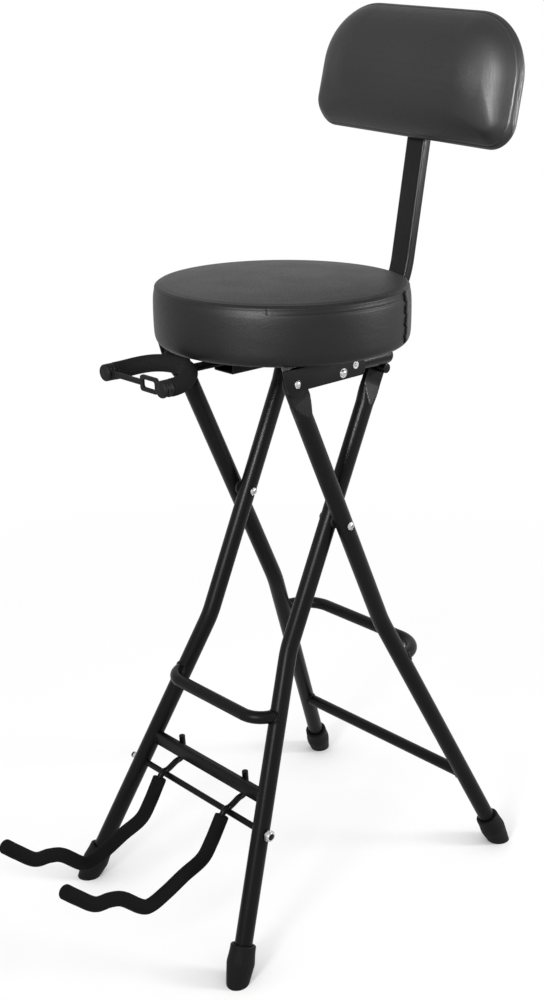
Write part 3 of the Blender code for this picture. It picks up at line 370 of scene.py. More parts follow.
def settle(piece, look, body, *nodes, angle=None, slot=None):
    """Give a piece its shading, finish and body, and hide the CAD nodes that it stands for."""
    if angle:
        shade(piece, angle)
    piece.data.transform(TO_FRAME)
    piece.data.materials.clear()
    piece.data.materials.append(LOOKS[look])
    if nodes:
        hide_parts(*nodes)
    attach(piece, body)
    slot = slot or SLOTS[look]


def join(name, pieces):
    """One piece from several bodies of the same finish."""
    form = bmesh.new()
    for piece in pieces:
        form.from_mesh(piece.data)
        bpy.data.objects.remove(piece)
    return new_object(name, finished_mesh(name, form))


def evaluated_mesh(piece):
    """A plain mesh of a piece with its modifiers applied."""
    bpy.context.view_layer.update()
    graph = bpy.context.evaluated_depsgraph_get()
    return bpy.data.meshes.new_from_object(piece.evaluated_get(graph))


def apply_modifiers(piece):
    mesh = evaluated_mesh(piece)
    piece.modifiers.clear()
    old = piece.data
    piece.data = mesh
    bpy.data.meshes.remove(old)


def subdivide(piece):
    """Split each face once and smooth the result."""
    change = piece.modifiers.new("smooth", 'SUBSURF')
    change.levels = 1
    change.render_levels = 1
    apply_modifiers(piece)


def shares(count):
    """Even shares from 0 to 1."""
    return [i / count for i in range(count + 1)]


def circle(radius, count):
    """Points round a circle about the origin."""
    turns = [2 * math.pi * i / count for i in range(count)]
    return [(radius * math.cos(turn), radius * math.sin(turn)) for turn in turns]


def skin(form, rings):
    """Faces between rings of points; a ring of one point closes an end."""
    count = max(len(ring) for ring in rings)
    for low, high in zip(rings, rings[1:]):
        for i in range(count):
            k = (i + 1) % count
            corners = [low[i % len(low)], low[k % len(low)], high[k % len(high)], high[i % len(high)]]
            form.faces.new(list(dict.fromkeys(corners)))


def limited(share):
    """A share held between 0 and 1."""
    return min(1.0, max(0.0, share))


def bell(distance, wide):
    """1 at no distance, falling to nothing over a width."""
    return math.exp(-(distance / wide) ** 2)


def arc(centre, radius, start, sweep, count):
    """Points along an arc, both ends included."""
    turns = [start + sweep * share for share in shares(count - 1)]
    return [(centre[0] + radius * math.cos(turn), centre[1] + radius * math.sin(turn)) for turn in turns]


def box_outline(wide, tall, radius, steps=6):
    """A rectangle with round corners, anticlockwise from the right."""
    outline = []
    for i, (sx, sy) in enumerate(((1, 1), (-1, 1), (-1, -1), (1, -1))):
        middle = (sx * (wide / 2 - radius), sy * (tall / 2 - radius))
        outline += arc(middle, radius, math.pi / 2 * i, math.pi / 2, steps + 1)
    return outline


def rounded(points, radius, steps=14):
    """A path whose inner corners are turned into arcs."""
    points = [Vector(p) for p in points]
    path = [points[0]]
    for before, corner, after in zip(points, points[1:], points[2:]):
        into = (before - corner).normalized()
        out = (after - corner).normalized()
        half = into.angle(out) / 2
        back = radius / math.tan(half)
        middle = corner + (into + out).normalized() * radius / math.sin(half)
        first = corner + into * back - middle
        last = corner + out * back - middle
        path += [middle + radius * first.slerp(last, share) for share in shares(steps)]
    path.append(points[-1])
    return path


def smooth(points, steps):
    """A smooth curve through the points, a Catmull-Rom spline."""
    points = [Vector(p) for p in points]
    ends = [2 * points[0] - points[1]] + points + [2 * points[-1] - points[-2]]
    path = []
    for a, b, c, d in zip(ends, ends[1:], ends[2:], ends[3:]):
        for i in range(steps):
            t = i / steps
            path.append(0.5 * (2 * b + (c - a) * t + (2 * a - 5 * b + 4 * c - d) * t * t
                               + (3 * b - a - 3 * c + d) * t ** 3))
    return path + [points[-1]]


def soft_ends(path, radius, edge, steps=4):
    """A path and its scales, with both ends rounded over an edge radius."""
    first = (path[1] - path[0]).normalized()
    last = (path[-1] - path[-2]).normalized()
    turns = [math.pi / 2 * share for share in shares(steps)]
    scales = [1 - edge / radius * (1 - math.cos(a)) for a in turns]
    start = [path[0] + first * edge * (1 - math.sin(a)) for a in reversed(turns)]
    end = [path[-1] - last * edge * (1 - math.sin(a)) for a in turns]

    def clear(off, way):
        return off.dot(way) > edge * 1.2 or off.length > edge * 3

    middle = [p for p in path[1:-1] if clear(p - path[0], first) and clear(path[-1] - p, last)]
    return start + middle + end, scales[::-1] + [1.0] * len(middle) + scales


def sweep(name, path, section, scales=None, across=None):
    """A solid bar: the section, a list of (u, v), is carried along the path without twisting."""
    path = [Vector(p) for p in path]
    last = len(path) - 1
    form = bmesh.new()
    rings = []
    for i, centre in enumerate(path):
        ahead = (path[min(i + 1, last)] - path[max(i - 1, 0)]).normalized()
        if across is None:
            across = ahead.orthogonal()
        across = (across - ahead * across.dot(ahead)).normalized()
        up = ahead.cross(across)
        scale = scales[i] if scales else 1.0
        rings.append([form.verts.new(centre + (across * u + up * v) * scale) for u, v in section])
    skin(form, rings)
    form.faces.new(rings[0])
    form.faces.new(rings[-1])
    return new_piece(name, form)


def bar(name, path, radius, sides=28, edge=None):
    """A round bar along a path, with a rounded edge at both ends if one is given."""
    path = [Vector(p) for p in path]
    scales = None
    if edge:
        path, scales = soft_ends(path, radius, edge)
    return sweep(name, path, circle(radius, sides), scales)


def turned(name, profile, turns, place=None, wave=None):
    """A turned piece over a list or a count of angles; wave(turn, height) scales its radius, for ribs."""
    if isinstance(turns, int):
        turns = [2 * math.pi * i / turns for i in range(turns)]
    form = bmesh.new()
    rings = []
    for radius, height in profile:
        if radius < 1e-6:
            rings.append([form.verts.new((0, 0, height))])
            continue
        reaches = [radius * (wave(turn, height) if wave else 1.0) for turn in turns]
        rings.append([form.verts.new((reach * math.cos(turn), reach * math.sin(turn), height))
                      for turn, reach in zip(turns, reaches)])
    skin(form, rings)
    piece = new_piece(name, form)
    if place:
        piece.data.transform(place)
    return piece


def along(start, direction):
    """A frame at start whose Z axis points along a direction."""
    turn = Vector(direction).to_track_quat('Z', 'Y').to_matrix().to_4x4()
    return Matrix.Translation(start) @ turn


# How the two axes of a flat outline lie in the chair, with the thickness along the third
STANDING_SIDEWAYS = Matrix(((0, 0, 1), (1, 0, 0), (0, 1, 0))).to_4x4()
STANDING_ACROSS = Matrix(((1, 0, 0), (0, 0, -1), (0, 1, 0))).to_4x4()
LYING = Matrix.Identity(4)


def plate(name, outlines, thickness, turn, place, edge):
    """A flat piece with rounded edges, from its outline and the outlines of its holes."""
    curve = bpy.data.curves.new(name, 'CURVE')
    curve.dimensions = '2D'
    curve.fill_mode = 'BOTH'
    curve.extrude = thickness / 2 - edge
    curve.bevel_depth = edge
    curve.bevel_resolution = 2
    curve.offset = -edge
    for outline in outlines:
        spline = curve.splines.new('POLY')
        spline.points.add(len(outline) - 1)
        spline.use_cyclic_u = True
        for spot, (u, v) in zip(spline.points, outline):
            spot.co = (u, v, 0.0, 1.0)
    guide = new_object(name, curve)
    mesh = evaluated_mesh(guide)
    bpy.data.objects.remove(guide)
    bpy.data.curves.remove(curve)
    form = bmesh.new()
    form.from_mesh(mesh)
    bpy.data.meshes.remove(mesh)
    bmesh.ops.remove_doubles(form, verts=form.verts, dist=1e-6)
    piece = new_piece(name, form)
    piece.data.transform(Matrix.Translation(place) @ turn)
    shade(piece, 30)
    return piece


def leg_point(part, side, height):
    """A leg's centre at a height: upright above its bend and splayed below it."""
    spec = LEGS[part]
    share = max(0.0, 1 - height / spec["bend"])
    x = spec["x"] + (spec["foot_x"] - spec["x"]) * share
    return Vector((SIDES[side] * x, CROSS_Y + spec["lean"] * (height - CROSS_HEIGHT) * LEAN, height))


def leg_up(part):
    return Vector((0, LEGS[part]["lean"] * LEAN, 1)).normalized()


def post_frame():
    """The frame at the foot of the post's upright: Z along the post, -Y to the sitter."""
    turn = math.pi / 2 - POST_LEAN
    y = POST_BEND_Y + POST_BEND_RADIUS * math.sin(turn)
    z = POST_Z + POST_BEND_RADIUS * (1 - math.cos(turn))
    return Matrix.Translation((0, y, z)) @ Matrix.Rotation(-POST_LEAN, 4, 'X')


# Nodes

class Number:
    """A socket that carries a number: arithmetic on it adds Math nodes."""

    def __init__(self, work, socket):
        self.work = work
        self.socket = socket

    def math(self, operation, first, second):
        return self.work.number('ShaderNodeMath', {"operation": operation}, {0: first, 1: second})

    def __add__(self, other):
        return self.math('ADD', self, other)

    def __radd__(self, other):
        return self.math('ADD', other, self)

    def __sub__(self, other):
        return self.math('SUBTRACT', self, other)

    def __rsub__(self, other):
        return self.math('SUBTRACT', other, self)

    def __mul__(self, other):
        return self.math('MULTIPLY', self, other)

    def __rmul__(self, other):
        return self.math('MULTIPLY', other, self)

    def at_most(self, other):
        return self.math('MINIMUM', self, other)


class NodeWork:
    """Adds nodes to one tree and joins them."""

    def __init__(self, tree):
        self.tree = tree

    def fill(self, node, sockets):
        """Link a node's sockets, or set them to plain values."""
        for key, value in sockets.items():
            if isinstance(value, Number):
                value = value.socket
            if isinstance(value, bpy.types.NodeSocket):
                self.tree.links.new(value, node.inputs[key])
            else:
                node.inputs[key].default_value = value

    def add(self, kind, settings=None, sockets=None):
        """A node of a type, with its settings and then the values or links of its sockets."""
        node = self.tree.nodes.new(kind)
        for key, value in (settings or {}).items():
            setattr(node, key, value)
        self.fill(node, sockets or {})
        return node

    def out(self, kind, settings=None, sockets=None, output=0):
        return self.add(kind, settings, sockets).outputs[output]

    def number(self, kind, settings=None, sockets=None, output=0):
        return Number(self, self.out(kind, settings, sockets, output))

    def mix(self, share, first, second):
        """A colour between two colours."""
        return self.out('ShaderNodeMix', {"data_type": 'RGBA'}, {0: share, 6: first, 7: second}, 2)

    def noise(self, place, size, detail=2.0, roughness=0.5, distortion=0.0):
        """Noise whose features are about one size across."""
        return self.number('ShaderNodeTexNoise', None, {
            "Vector": place, "Scale": 1 / size, "Detail": detail, "Roughness": roughness,
            "Distortion": distortion})

    def cells(self, place, size):
        return self.number('ShaderNodeTexVoronoi', None, {"Vector": place, "Scale": 1 / size})

    def ramp(self, value, low, high):
        """A value stretched from low..high to 0..1."""
        return self.number('ShaderNodeMapRange', None, {0: value, 1: low, 2: high, 3: 0.0, 4: 1.0})

    def stretched(self, place, scale):
        return self.out('ShaderNodeMapping', None, {"Vector": place, "Scale": scale})

    def bump(self, height, distance, strength, under=None):
        sockets = {"Height": height, "Distance": distance, "Strength": strength}
        if under:
            sockets["Normal"] = under
        return self.out('ShaderNodeBump', None, sockets)


def new_look(name, recipe, *given):
    """A material on Object coordinates; the recipe gives the sockets of its Principled shader."""
    look = bpy.data.materials.new(name)
    look.use_nodes = True
    work = NodeWork(look.node_tree)
    place = work.out('ShaderNodeTexCoord', output="Object")
    work.fill(look.node_tree.nodes["Principled BSDF"], recipe(work, place, *given))
    return look


def tone(colour, factor):
    return (*(min(1.0, c * factor) for c in colour), 1.0)


def paint_look(work, place, colour):
    """Satin black powder coat: orange peel, faint cloudiness and dust."""
    peel = work.noise(place, 0.0011, 2.0, 0.55)
    cloud = work.noise(place, 0.045, 3.0)
    dust = work.ramp(work.noise(place, 0.0042, 6.0, 0.65), 0.60, 0.78)
    tint = work.mix(cloud * 0.8, tone(colour, 0.75), tone(colour, 1.35))
    tint = work.mix(dust * 0.10, tint, tone(colour, 6.0))
    return {"Base Color": tint, "Roughness": 0.29 + cloud * 0.10 + dust * 0.08,
            "Normal": work.bump(peel, 0.00012, 0.5), "Specular IOR Level": 0.10}


def leather_look(work, place, colour, grain, gloss):
    """Black upholstery leather: pebbled grain, fine pores and soft creases."""
    warp = work.noise(place, grain * 4, 2.0)
    moved = work.out('ShaderNodeVectorMath', {"operation": 'MULTIPLY_ADD'},
                     {0: warp.socket, 1: (grain * 0.9,) * 3, 2: place})
    pebble = work.cells(moved, grain)
    fine = work.cells(moved, grain * 0.45)
    crease = work.noise(work.stretched(place, (1.0, 1.0, 2.2)), 0.030, 4.0, 0.6, 0.4)
    shine = work.noise(place, 0.060, 2.0)
    pit = work.ramp(pebble, 0.25, 0.75)
    tint = work.mix(pit, tone(colour, 1.12), tone(colour, 0.62))
    tint = work.mix(shine * 0.4, tint, tone(colour, 1.30))
    normal = work.bump(crease, 0.0012, 0.25)
    normal = work.bump(1.0 - pebble * 0.75 - fine * 0.25, grain * 0.16, 0.55, normal)
    return {"Base Color": tint, "Roughness": 0.36 + shine * 0.12 + pit * 0.10, "Normal": normal,
            "Specular IOR Level": gloss}


def foam_look(work, place, colour):
    """Closed-cell foam: fine cells with a matt skin."""
    cell = work.cells(place, 0.0010)
    fleck = work.noise(place, 0.0006, 3.0, 0.7)
    patch = work.noise(place, 0.020, 2.0)
    tint = work.mix(cell, tone(colour, 1.5), tone(colour, 0.55))
    tint = work.mix(patch * 0.5, tint, tone(colour, 1.7))
    normal = work.bump(1.0 - cell * 0.7 + fleck * 0.3, 0.0004, 0.7)
    return {"Base Color": tint, "Roughness": 0.80 + patch * 0.14, "Normal": normal,
            "Specular IOR Level": 0.06}


def rubber_look(work, place, colour):
    """Moulded rubber: a dull skin with a little dust."""
    skin_noise = work.noise(place, 0.0008, 3.0, 0.6)
    dust = work.ramp(work.noise(place, 0.006, 5.0, 0.65), 0.52, 0.80)
    tint = work.mix(dust * 0.22, tone(colour, 0.9), tone(colour, 3.6))
    return {"Base Color": tint, "Roughness": 0.52 + dust * 0.22 + skin_noise * 0.08,
            "Normal": work.bump(skin_noise, 0.00014, 0.5), "Specular IOR Level": 0.1}


def zinc_look(work, place, colour):
    """Zinc plate: bright metal with fine turning marks and cloudy patches."""
    mark = work.noise(work.stretched(place, (1.0, 6.0, 6.0)), 0.0012, 2.0)
    cloud = work.noise(place, 0.005, 3.0)
    tint = work.mix(cloud, tone(colour, 0.82), tone(colour, 1.12))
    return {"Base Color": tint, "Roughness": 0.20 + cloud * 0.16 + mark * 0.06,
            "Normal": work.bump(mark, 0.00005, 0.3), "Metallic": 1.0}


def plastic_look(work, place, colour):
    """Moulded plastic with a fine spark-eroded texture."""
    skin_noise = work.noise(place, 0.0005, 2.0, 0.6)
    patch = work.noise(place, 0.012, 2.0)
    tint = work.mix(patch, tone(colour, 0.8), tone(colour, 1.3))
    return {"Base Color": tint, "Roughness": 0.40 + patch * 0.12 + skin_noise * 0.06,
            "Normal": work.bump(skin_noise, 0.00010, 0.5), "Specular IOR Level": 0.2}


def board_look(work, place, colour):
    """Black-stained plywood: long grain and pores."""
    grain = work.noise(work.stretched(place, (1.0, 14.0, 14.0)), 0.030, 5.0, 0.6, 0.3)
    pore = work.ramp(work.noise(work.stretched(place, (1.0, 22.0, 22.0)), 0.012, 3.0), 0.55, 0.72)
    tint = work.mix(grain, tone(colour, 0.6), tone(colour, 1.7))
    tint = work.mix(pore * 0.6, tint, tone(colour, 0.35))
    return {"Base Color": tint, "Roughness": 0.58 + grain * 0.2,
            "Normal": work.bump(grain - pore * 0.5, 0.0003, 0.4), "Specular IOR Level": 0.3}


def thread_look(work, place, colour):
    """Twisted sewing thread."""
    twist = work.noise(place, 0.0007, 2.0)
    tint = work.mix(twist, tone(colour, 0.7), tone(colour, 1.8))
    return {"Base Color": tint, "Roughness": 0.62 + twist * 0.2, "Normal": work.bump(twist, 0.0001, 0.6),
            "Specular IOR Level": 0.3}


LOOKS = {}
# The part's slot for each finish; the finish named last for a slot also dresses the slot's CAD nodes
SLOTS = {"paint": "black_paint", "thread": "leather", "pad_leather": "leather", "leather": "leather",
         "foam": "foam", "rubber": "rubber", "zinc": "zinc", "plastic": "black_plastic", "board": "plywood"}


def make_looks():
    """The chair's finishes, and the finish of each CAD node that stays in view."""
    colours = bpy.context.scene.chair_colours
    grain = bpy.context.scene.chair_details.grain
    LOOKS["paint"] = new_look("powder_coat", paint_look, colours.paint)
    LOOKS["leather"] = new_look("seat_leather", leather_look, colours.leather, grain, 0.15)
    LOOKS["pad_leather"] = new_look("pad_leather", leather_look, colours.leather, grain, 0.25)
    LOOKS["foam"] = new_look("foam", foam_look, colours.foam)
    LOOKS["rubber"] = new_look("rubber", rubber_look, colours.rubber)
    LOOKS["zinc"] = new_look("zinc", zinc_look, colours.zinc)
    LOOKS["plastic"] = new_look("plastic", plastic_look, colours.plastic)
    LOOKS["board"] = new_look("board", board_look, colours.board)
    LOOKS["thread"] = new_look("thread", thread_look, colours.leather)
    slot_looks = {slot: look for look, slot in SLOTS.items()}
    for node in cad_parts.values():
        for holder in node.material_slots:
            name = holder.material.name.split(".")[0] if holder.material else "black_paint"
            holder.material = LOOKS[slot_looks.get(name, "paint")]


# Repeated details by Geometry Nodes

def geometry_tree(name, inputs):
    """A Geometry Nodes tree with its geometry sockets and named inputs."""
    tree = bpy.data.node_groups.new(name, 'GeometryNodeTree')
    tree.interface.new_socket("Geometry", in_out='INPUT', socket_type='NodeSocketGeometry')
    for label, kind in inputs.items():
        tree.interface.new_socket(label, in_out='INPUT', socket_type=f"NodeSocket{kind}")
    tree.interface.new_socket("Geometry", in_out='OUTPUT', socket_type='NodeSocketGeometry')
    work = NodeWork(tree)
    start = work.add('NodeGroupInput')
    return tree, work, start.outputs


def end_tree(work, copies, look):
    """Turn a tree's instances into plain faces of one finish."""
    solid = work.out('GeometryNodeRealizeInstances', None, {0: copies})
    dressed = work.out('GeometryNodeSetMaterial', None, {"Geometry": solid, "Material": look})
    work.add('NodeGroupOutput', None, {0: dressed})


def even_points(work, given):
    """Points one step apart along the carrier's edges."""
    line = work.out('GeometryNodeMeshToCurve', None, {0: given["Geometry"]})
    return work.out('GeometryNodeResampleCurve', {"mode": 'LENGTH'}, {"Curve": line, "Length": given["Step"]})


def smooth_bit(work, kind, sockets):
    """A small smooth shape to set on points."""
    return work.out('GeometryNodeSetShadeSmooth', None, {0: work.out(kind, None, sockets)})


def instances(work, **sockets):
    return work.out('GeometryNodeInstanceOnPoints', None, sockets)


def grow(name, carrier, tree, values):
    """Run a tree on a carrier mesh and keep the result as a plain mesh object."""
    piece = new_object(name, carrier)
    change = piece.modifiers.new("grow", 'NODES')
    change.node_group = tree
    sockets = {item.name: item.identifier for item in tree.interface.items_tree if item.in_out == 'INPUT'}
    for label, value in values.items():
        change[sockets[label]] = value
    apply_modifiers(piece)
    if not piece.data.polygons:
        raise RuntimeError(f"{name} has no faces")
    return piece


def bead_tree():
    """Beads set side by side along the carrier's edges."""
    tree, work, given = geometry_tree("weld_beads", {"Radius": 'Float', "Step": 'Float', "Seed": 'Int'})
    line = even_points(work, given)
    bead = smooth_bit(work, 'GeometryNodeMeshIcoSphere', {"Radius": given["Radius"], "Subdivisions": 2})
    uneven = work.out('FunctionNodeRandomValue', {"data_type": 'FLOAT'},
                      {2: 0.82, 3: 1.18, "Seed": given["Seed"]}, 1)
    end_tree(work, instances(work, Points=line, Instance=bead, Scale=uneven), LOOKS["paint"])
    return tree


def stitch_tree(name, look):
    """Short rounded lengths laid end to end along the carrier's edges."""
    tree, work, given = geometry_tree(name, {"Length": 'Float', "Radius": 'Float', "Step": 'Float'})
    line = even_points(work, given)
    ahead = work.out('GeometryNodeInputTangent')
    turn = work.out('FunctionNodeAlignRotationToVector', {"axis": 'Z'}, {"Vector": ahead})
    bit = smooth_bit(work, 'GeometryNodeMeshUVSphere', {"Segments": 8, "Rings": 6, "Radius": 1.0})
    half = Number(work, given["Length"]) * 0.5
    size = work.out('ShaderNodeCombineXYZ', None, {0: given["Radius"], 1: given["Radius"], 2: half})
    end_tree(work, instances(work, Points=line, Instance=bit, Rotation=turn, Scale=size), look)
    return tree


def fastener_tree():
    """A head and a shank on each point of the carrier, along its direction."""
    tree, work, given = geometry_tree("fasteners", {"Head": 'Object', "Shank sides": 'Int', "Seed": 'Int'})

    def attribute(name, kind='FLOAT'):
        return work.out('GeometryNodeInputNamedAttribute', {"data_type": kind}, {"Name": name})

    points = work.out('GeometryNodeMeshToPoints', None, {"Mesh": given["Geometry"]})
    turn = work.out('FunctionNodeAlignRotationToVector', {"axis": 'Z'},
                    {"Vector": attribute("direction", 'FLOAT_VECTOR')})
    angle = work.out('FunctionNodeRandomValue', {"data_type": 'FLOAT'},
                     {2: 0.0, 3: math.pi, "Seed": given["Seed"]}, 1)
    twist = work.out('FunctionNodeAxisAngleToRotation', None, {"Axis": (0.0, 0.0, 1.0), "Angle": angle})
    spun = work.out('FunctionNodeRotateRotation', {"rotation_space": 'LOCAL'},
                    {"Rotation": turn, "Rotate By": twist})
    head = work.out('GeometryNodeObjectInfo', None, {"Object": given["Head"]}, "Geometry")
    heads = instances(work, Points=points, Instance=head, Rotation=spun, Scale=attribute("head_radius"))
    shank = work.out('GeometryNodeMeshCylinder', None,
                     {"Vertices": given["Shank sides"], "Radius": 1.0, "Depth": 1.0})
    shank = work.out('GeometryNodeTransform', None, {"Geometry": shank, "Translation": (0.0, 0.0, -0.5)})
    wide = attribute("shank_radius")
    size = work.out('ShaderNodeCombineXYZ', None, {0: wide, 1: wide, 2: attribute("shank_length")})
    shanks = instances(work, Points=points, Instance=shank, Rotation=turn, Scale=size)
    both = work.add('GeometryNodeJoinGeometry', None, {0: heads})
    work.tree.links.new(shanks, both.inputs[0])
    end_tree(work, both.outputs[0], LOOKS["zinc"])
    return tree


def line_mesh(name, loops):
    """A mesh of edges only, one closed chain for each loop of points."""
    form = bmesh.new()
    for loop in loops:
        spots = [form.verts.new(p) for p in loop]
        for pair in zip(spots, spots[1:] + spots[:1]):
            form.edges.new(pair)
    return finished_mesh(name, form)


def fastener(place, out, head, shank, length):
    """One point for the fastener tree."""
    return {"place": Vector(place), "out": Vector(out), "head_radius": head, "shank_radius": shank,
            "shank_length": length}


def fastener_mesh(name, spots):
    """Points with a direction, a head radius, and a shank's radius and length."""
    mesh = bpy.data.meshes.new(name)
    mesh.from_pydata([spot["place"] for spot in spots], [], [])
    direction = mesh.attributes.new("direction", 'FLOAT_VECTOR', 'POINT')
    direction.data.foreach_set("vector", [value for spot in spots for value in spot["out"]])
    for label in ("head_radius", "shank_radius", "shank_length"):
        layer = mesh.attributes.new(label, 'FLOAT', 'POINT')
        layer.data.foreach_set("value", [spot[label] for spot in spots])
    return mesh


def dome_head():
    """A slotted domed head of radius 1 that stands on z = 0."""
    profile = arc((0, -0.72), 1.26, math.pi / 2, -math.radians(50), 9)
    profile += [(0.985, 0.14), (1.0, 0.08), (0.985, 0.0), (0.0, 0.0)]
    head = turned("dome_head", profile, 28)
    shade(head, 35)
    width = bpy.context.scene.chair_details.slot
    form = bmesh.new()
    bmesh.ops.create_cube(form, size=1.0)
    bmesh.ops.scale(form, vec=(1.5, 2 * width, 0.5), verts=form.verts)
    bmesh.ops.translate(form, vec=(0, 0, 0.54), verts=form.verts)
    slot = new_piece("head_slot", form)
    change = head.modifiers.new("slot", 'BOOLEAN')
    change.operation = 'DIFFERENCE'
    change.solver = 'EXACT'
    change.object = slot
    apply_modifiers(head)
    bpy.data.objects.remove(slot)
    return head


def lock_nut():
    """A hexagon lock nut with a nylon collar, of corner radius 1, that stands on z = 0."""
    tall = NUT_TALL / (NUT_ACROSS / math.sqrt(3))
    body = plate("nut_body", [circle(1, 6), circle(0.55, 24)], tall * 0.72, LYING, (0, 0, tall * 0.36),
                 edge=0.05)
    ring = ((0.56, 0.98), (0.64, 1), (0.76, 0.96), (0.82, 0.86), (0.82, 0.70), (0.56, 0.70), (0.56, 0.98))
    collar = turned("nut_collar", [(radius, tall * up) for radius, up in ring], 28)
    shade(collar, 40)
    return join("lock_nut", [body, collar])


def saddle(centre, outward, radius, leg_way):
    """Where a bar that runs outward from a leg's centre leaves the leg's surface."""
    outward = outward.normalized()
    across = outward.orthogonal().normalized()
    up = outward.cross(across)
    loop = []
    for u, v in circle(radius, 40):
        spot = centre + across * u + up * v
        off = spot - centre
        off -= leg_way * off.dot(leg_way)
        way = outward - leg_way * outward.dot(leg_way)
        a, b, c = way.dot(way), 2 * off.dot(way), off.dot(off) - LEG_R ** 2
        reach = (-b + math.sqrt(max(0.0, b * b - 4 * a * c))) / (2 * a)
        loop.append(spot + outward * reach)
    return loop


# Pieces

def build_legs():
    """Bent tubes whose top ends are pressed flat, with a crease where the round tube ends."""
    for part, spec in LEGS.items():
        up = leg_up(part)
        deep_way = X_AXIS.cross(up)
        for side, sign in SIDES.items():
            foot = leg_point(part, side, 0)
            bend = leg_point(part, side, spec["bend"])
            hole = leg_point(part, side, spec["hole_z"])
            start = foot + (bend - foot).normalized() * (FOOT_SOLE + GAP)
            below = FLAT_BELOW + FLAT_TAPER
            end = FLAT_WIDTH / 2
            path = rounded([start, bend, hole - up * (below + 0.002)], BEND_RADIUS, steps=22)
            path += [hole - up * (below - FLAT_TAPER * share) for share in shares(12)]
            path += [hole - up * FLAT_BELOW * (1 - share) for share in shares(4)[1:]]
            path += [hole + up * end * math.sin(math.pi / 2 * share) for share in shares(14)[1:]]
            # the last ring stays a little wide, so that its face doesn't shrink to a point
            path[-1] = hole + up * end * 0.9995
            name = f"{part}_leg_{side}"
            piece = sweep(name + "_tube", path, circle(LEG_R, 36), across=X_AXIS)
            shift = sign * (spec["end_x"] - spec["x"])
            for spot in piece.data.vertices:
                offset = spot.co - hole
                height = offset.dot(up)
                share = limited((height + below) / FLAT_TAPER)
                if share <= 0:
                    continue
                wide = offset.dot(deep_way)
                limit = LEG_R + (FLAT_THICK / 2 - LEG_R) * share
                x = max(-limit, min(limit, offset.x)) + shift * share
                wide *= 1 + (FLAT_WIDTH / (2 * LEG_R) - 1) * share
                if height > 0:
                    wide *= math.sqrt(max(0.0, 1 - (height / end) ** 2))
                spot.co = hole + Vector((x, 0, 0)) + deep_way * wide + up * height
            settle(piece, "paint", spec["body"], name, angle=24)


def build_feet():
    """Ribbed rubber cups on the legs' ends, cut level with the floor."""
    ribs = bpy.context.scene.chair_details.foot_ribs
    for part, spec in LEGS.items():
        for side in SIDES:
            floor = leg_point(part, side, 0)
            up = (leg_point(part, side, spec["bend"]) - floor).normalized()
            below = FOOT_RADIUS * 0.7
            bore = LEG_R + GAP
            well = FOOT_LENGTH - FOOT_WELL
            rim = FOOT_LENGTH - FOOT_LIP
            top = [(0, well), (bore, well), (bore, rim), (bore + 0.0006, FOOT_LENGTH),
                   (FOOT_TOP_RADIUS - 0.0008, FOOT_LENGTH), (FOOT_TOP_RADIUS, rim)]
            outside = smooth([(FOOT_TOP_RADIUS, rim), (FOOT_TOP_RADIUS + 0.0004, FOOT_LENGTH * 0.8),
                              (FOOT_RADIUS - 0.0001, FOOT_LENGTH * 0.58), (FOOT_RADIUS, FOOT_LENGTH * 0.52),
                              (FOOT_RADIUS - 0.0003, FOOT_LENGTH * 0.45),
                              (FOOT_RADIUS * 0.85, FOOT_LENGTH * 0.1), (FOOT_RADIUS * 0.7, -below)], 5)
            profile = top + [tuple(p) for p in outside[1:]] + [(0, -below)]

            def rib(turn, height):
                band = limited((FOOT_LENGTH * 0.74 - height) / FOOT_WELL)
                return 1 - 0.016 * band * (0.5 + 0.5 * math.cos(ribs * turn)) ** 3

            piece = turned(f"{part}_foot_{side}_rubber", profile, ribs * 6, along(floor, up), rib)
            form = bmesh.new()
            form.from_mesh(piece.data)
            everything = form.verts[:] + form.edges[:] + form.faces[:]
            sliced = bmesh.ops.bisect_plane(form, geom=everything, plane_co=(0, 0, 0), plane_no=(0, 0, -1),
                                            clear_outer=True)
            sole = [item for item in sliced["geom_cut"] if isinstance(item, bmesh.types.BMEdge)]
            bmesh.ops.contextual_create(form, geom=sole)
            bmesh.ops.recalc_face_normals(form, faces=form.faces)
            form.to_mesh(piece.data)
            form.free()
            settle(piece, "rubber", spec["body"], f"{part}_foot_{side}", angle=40)


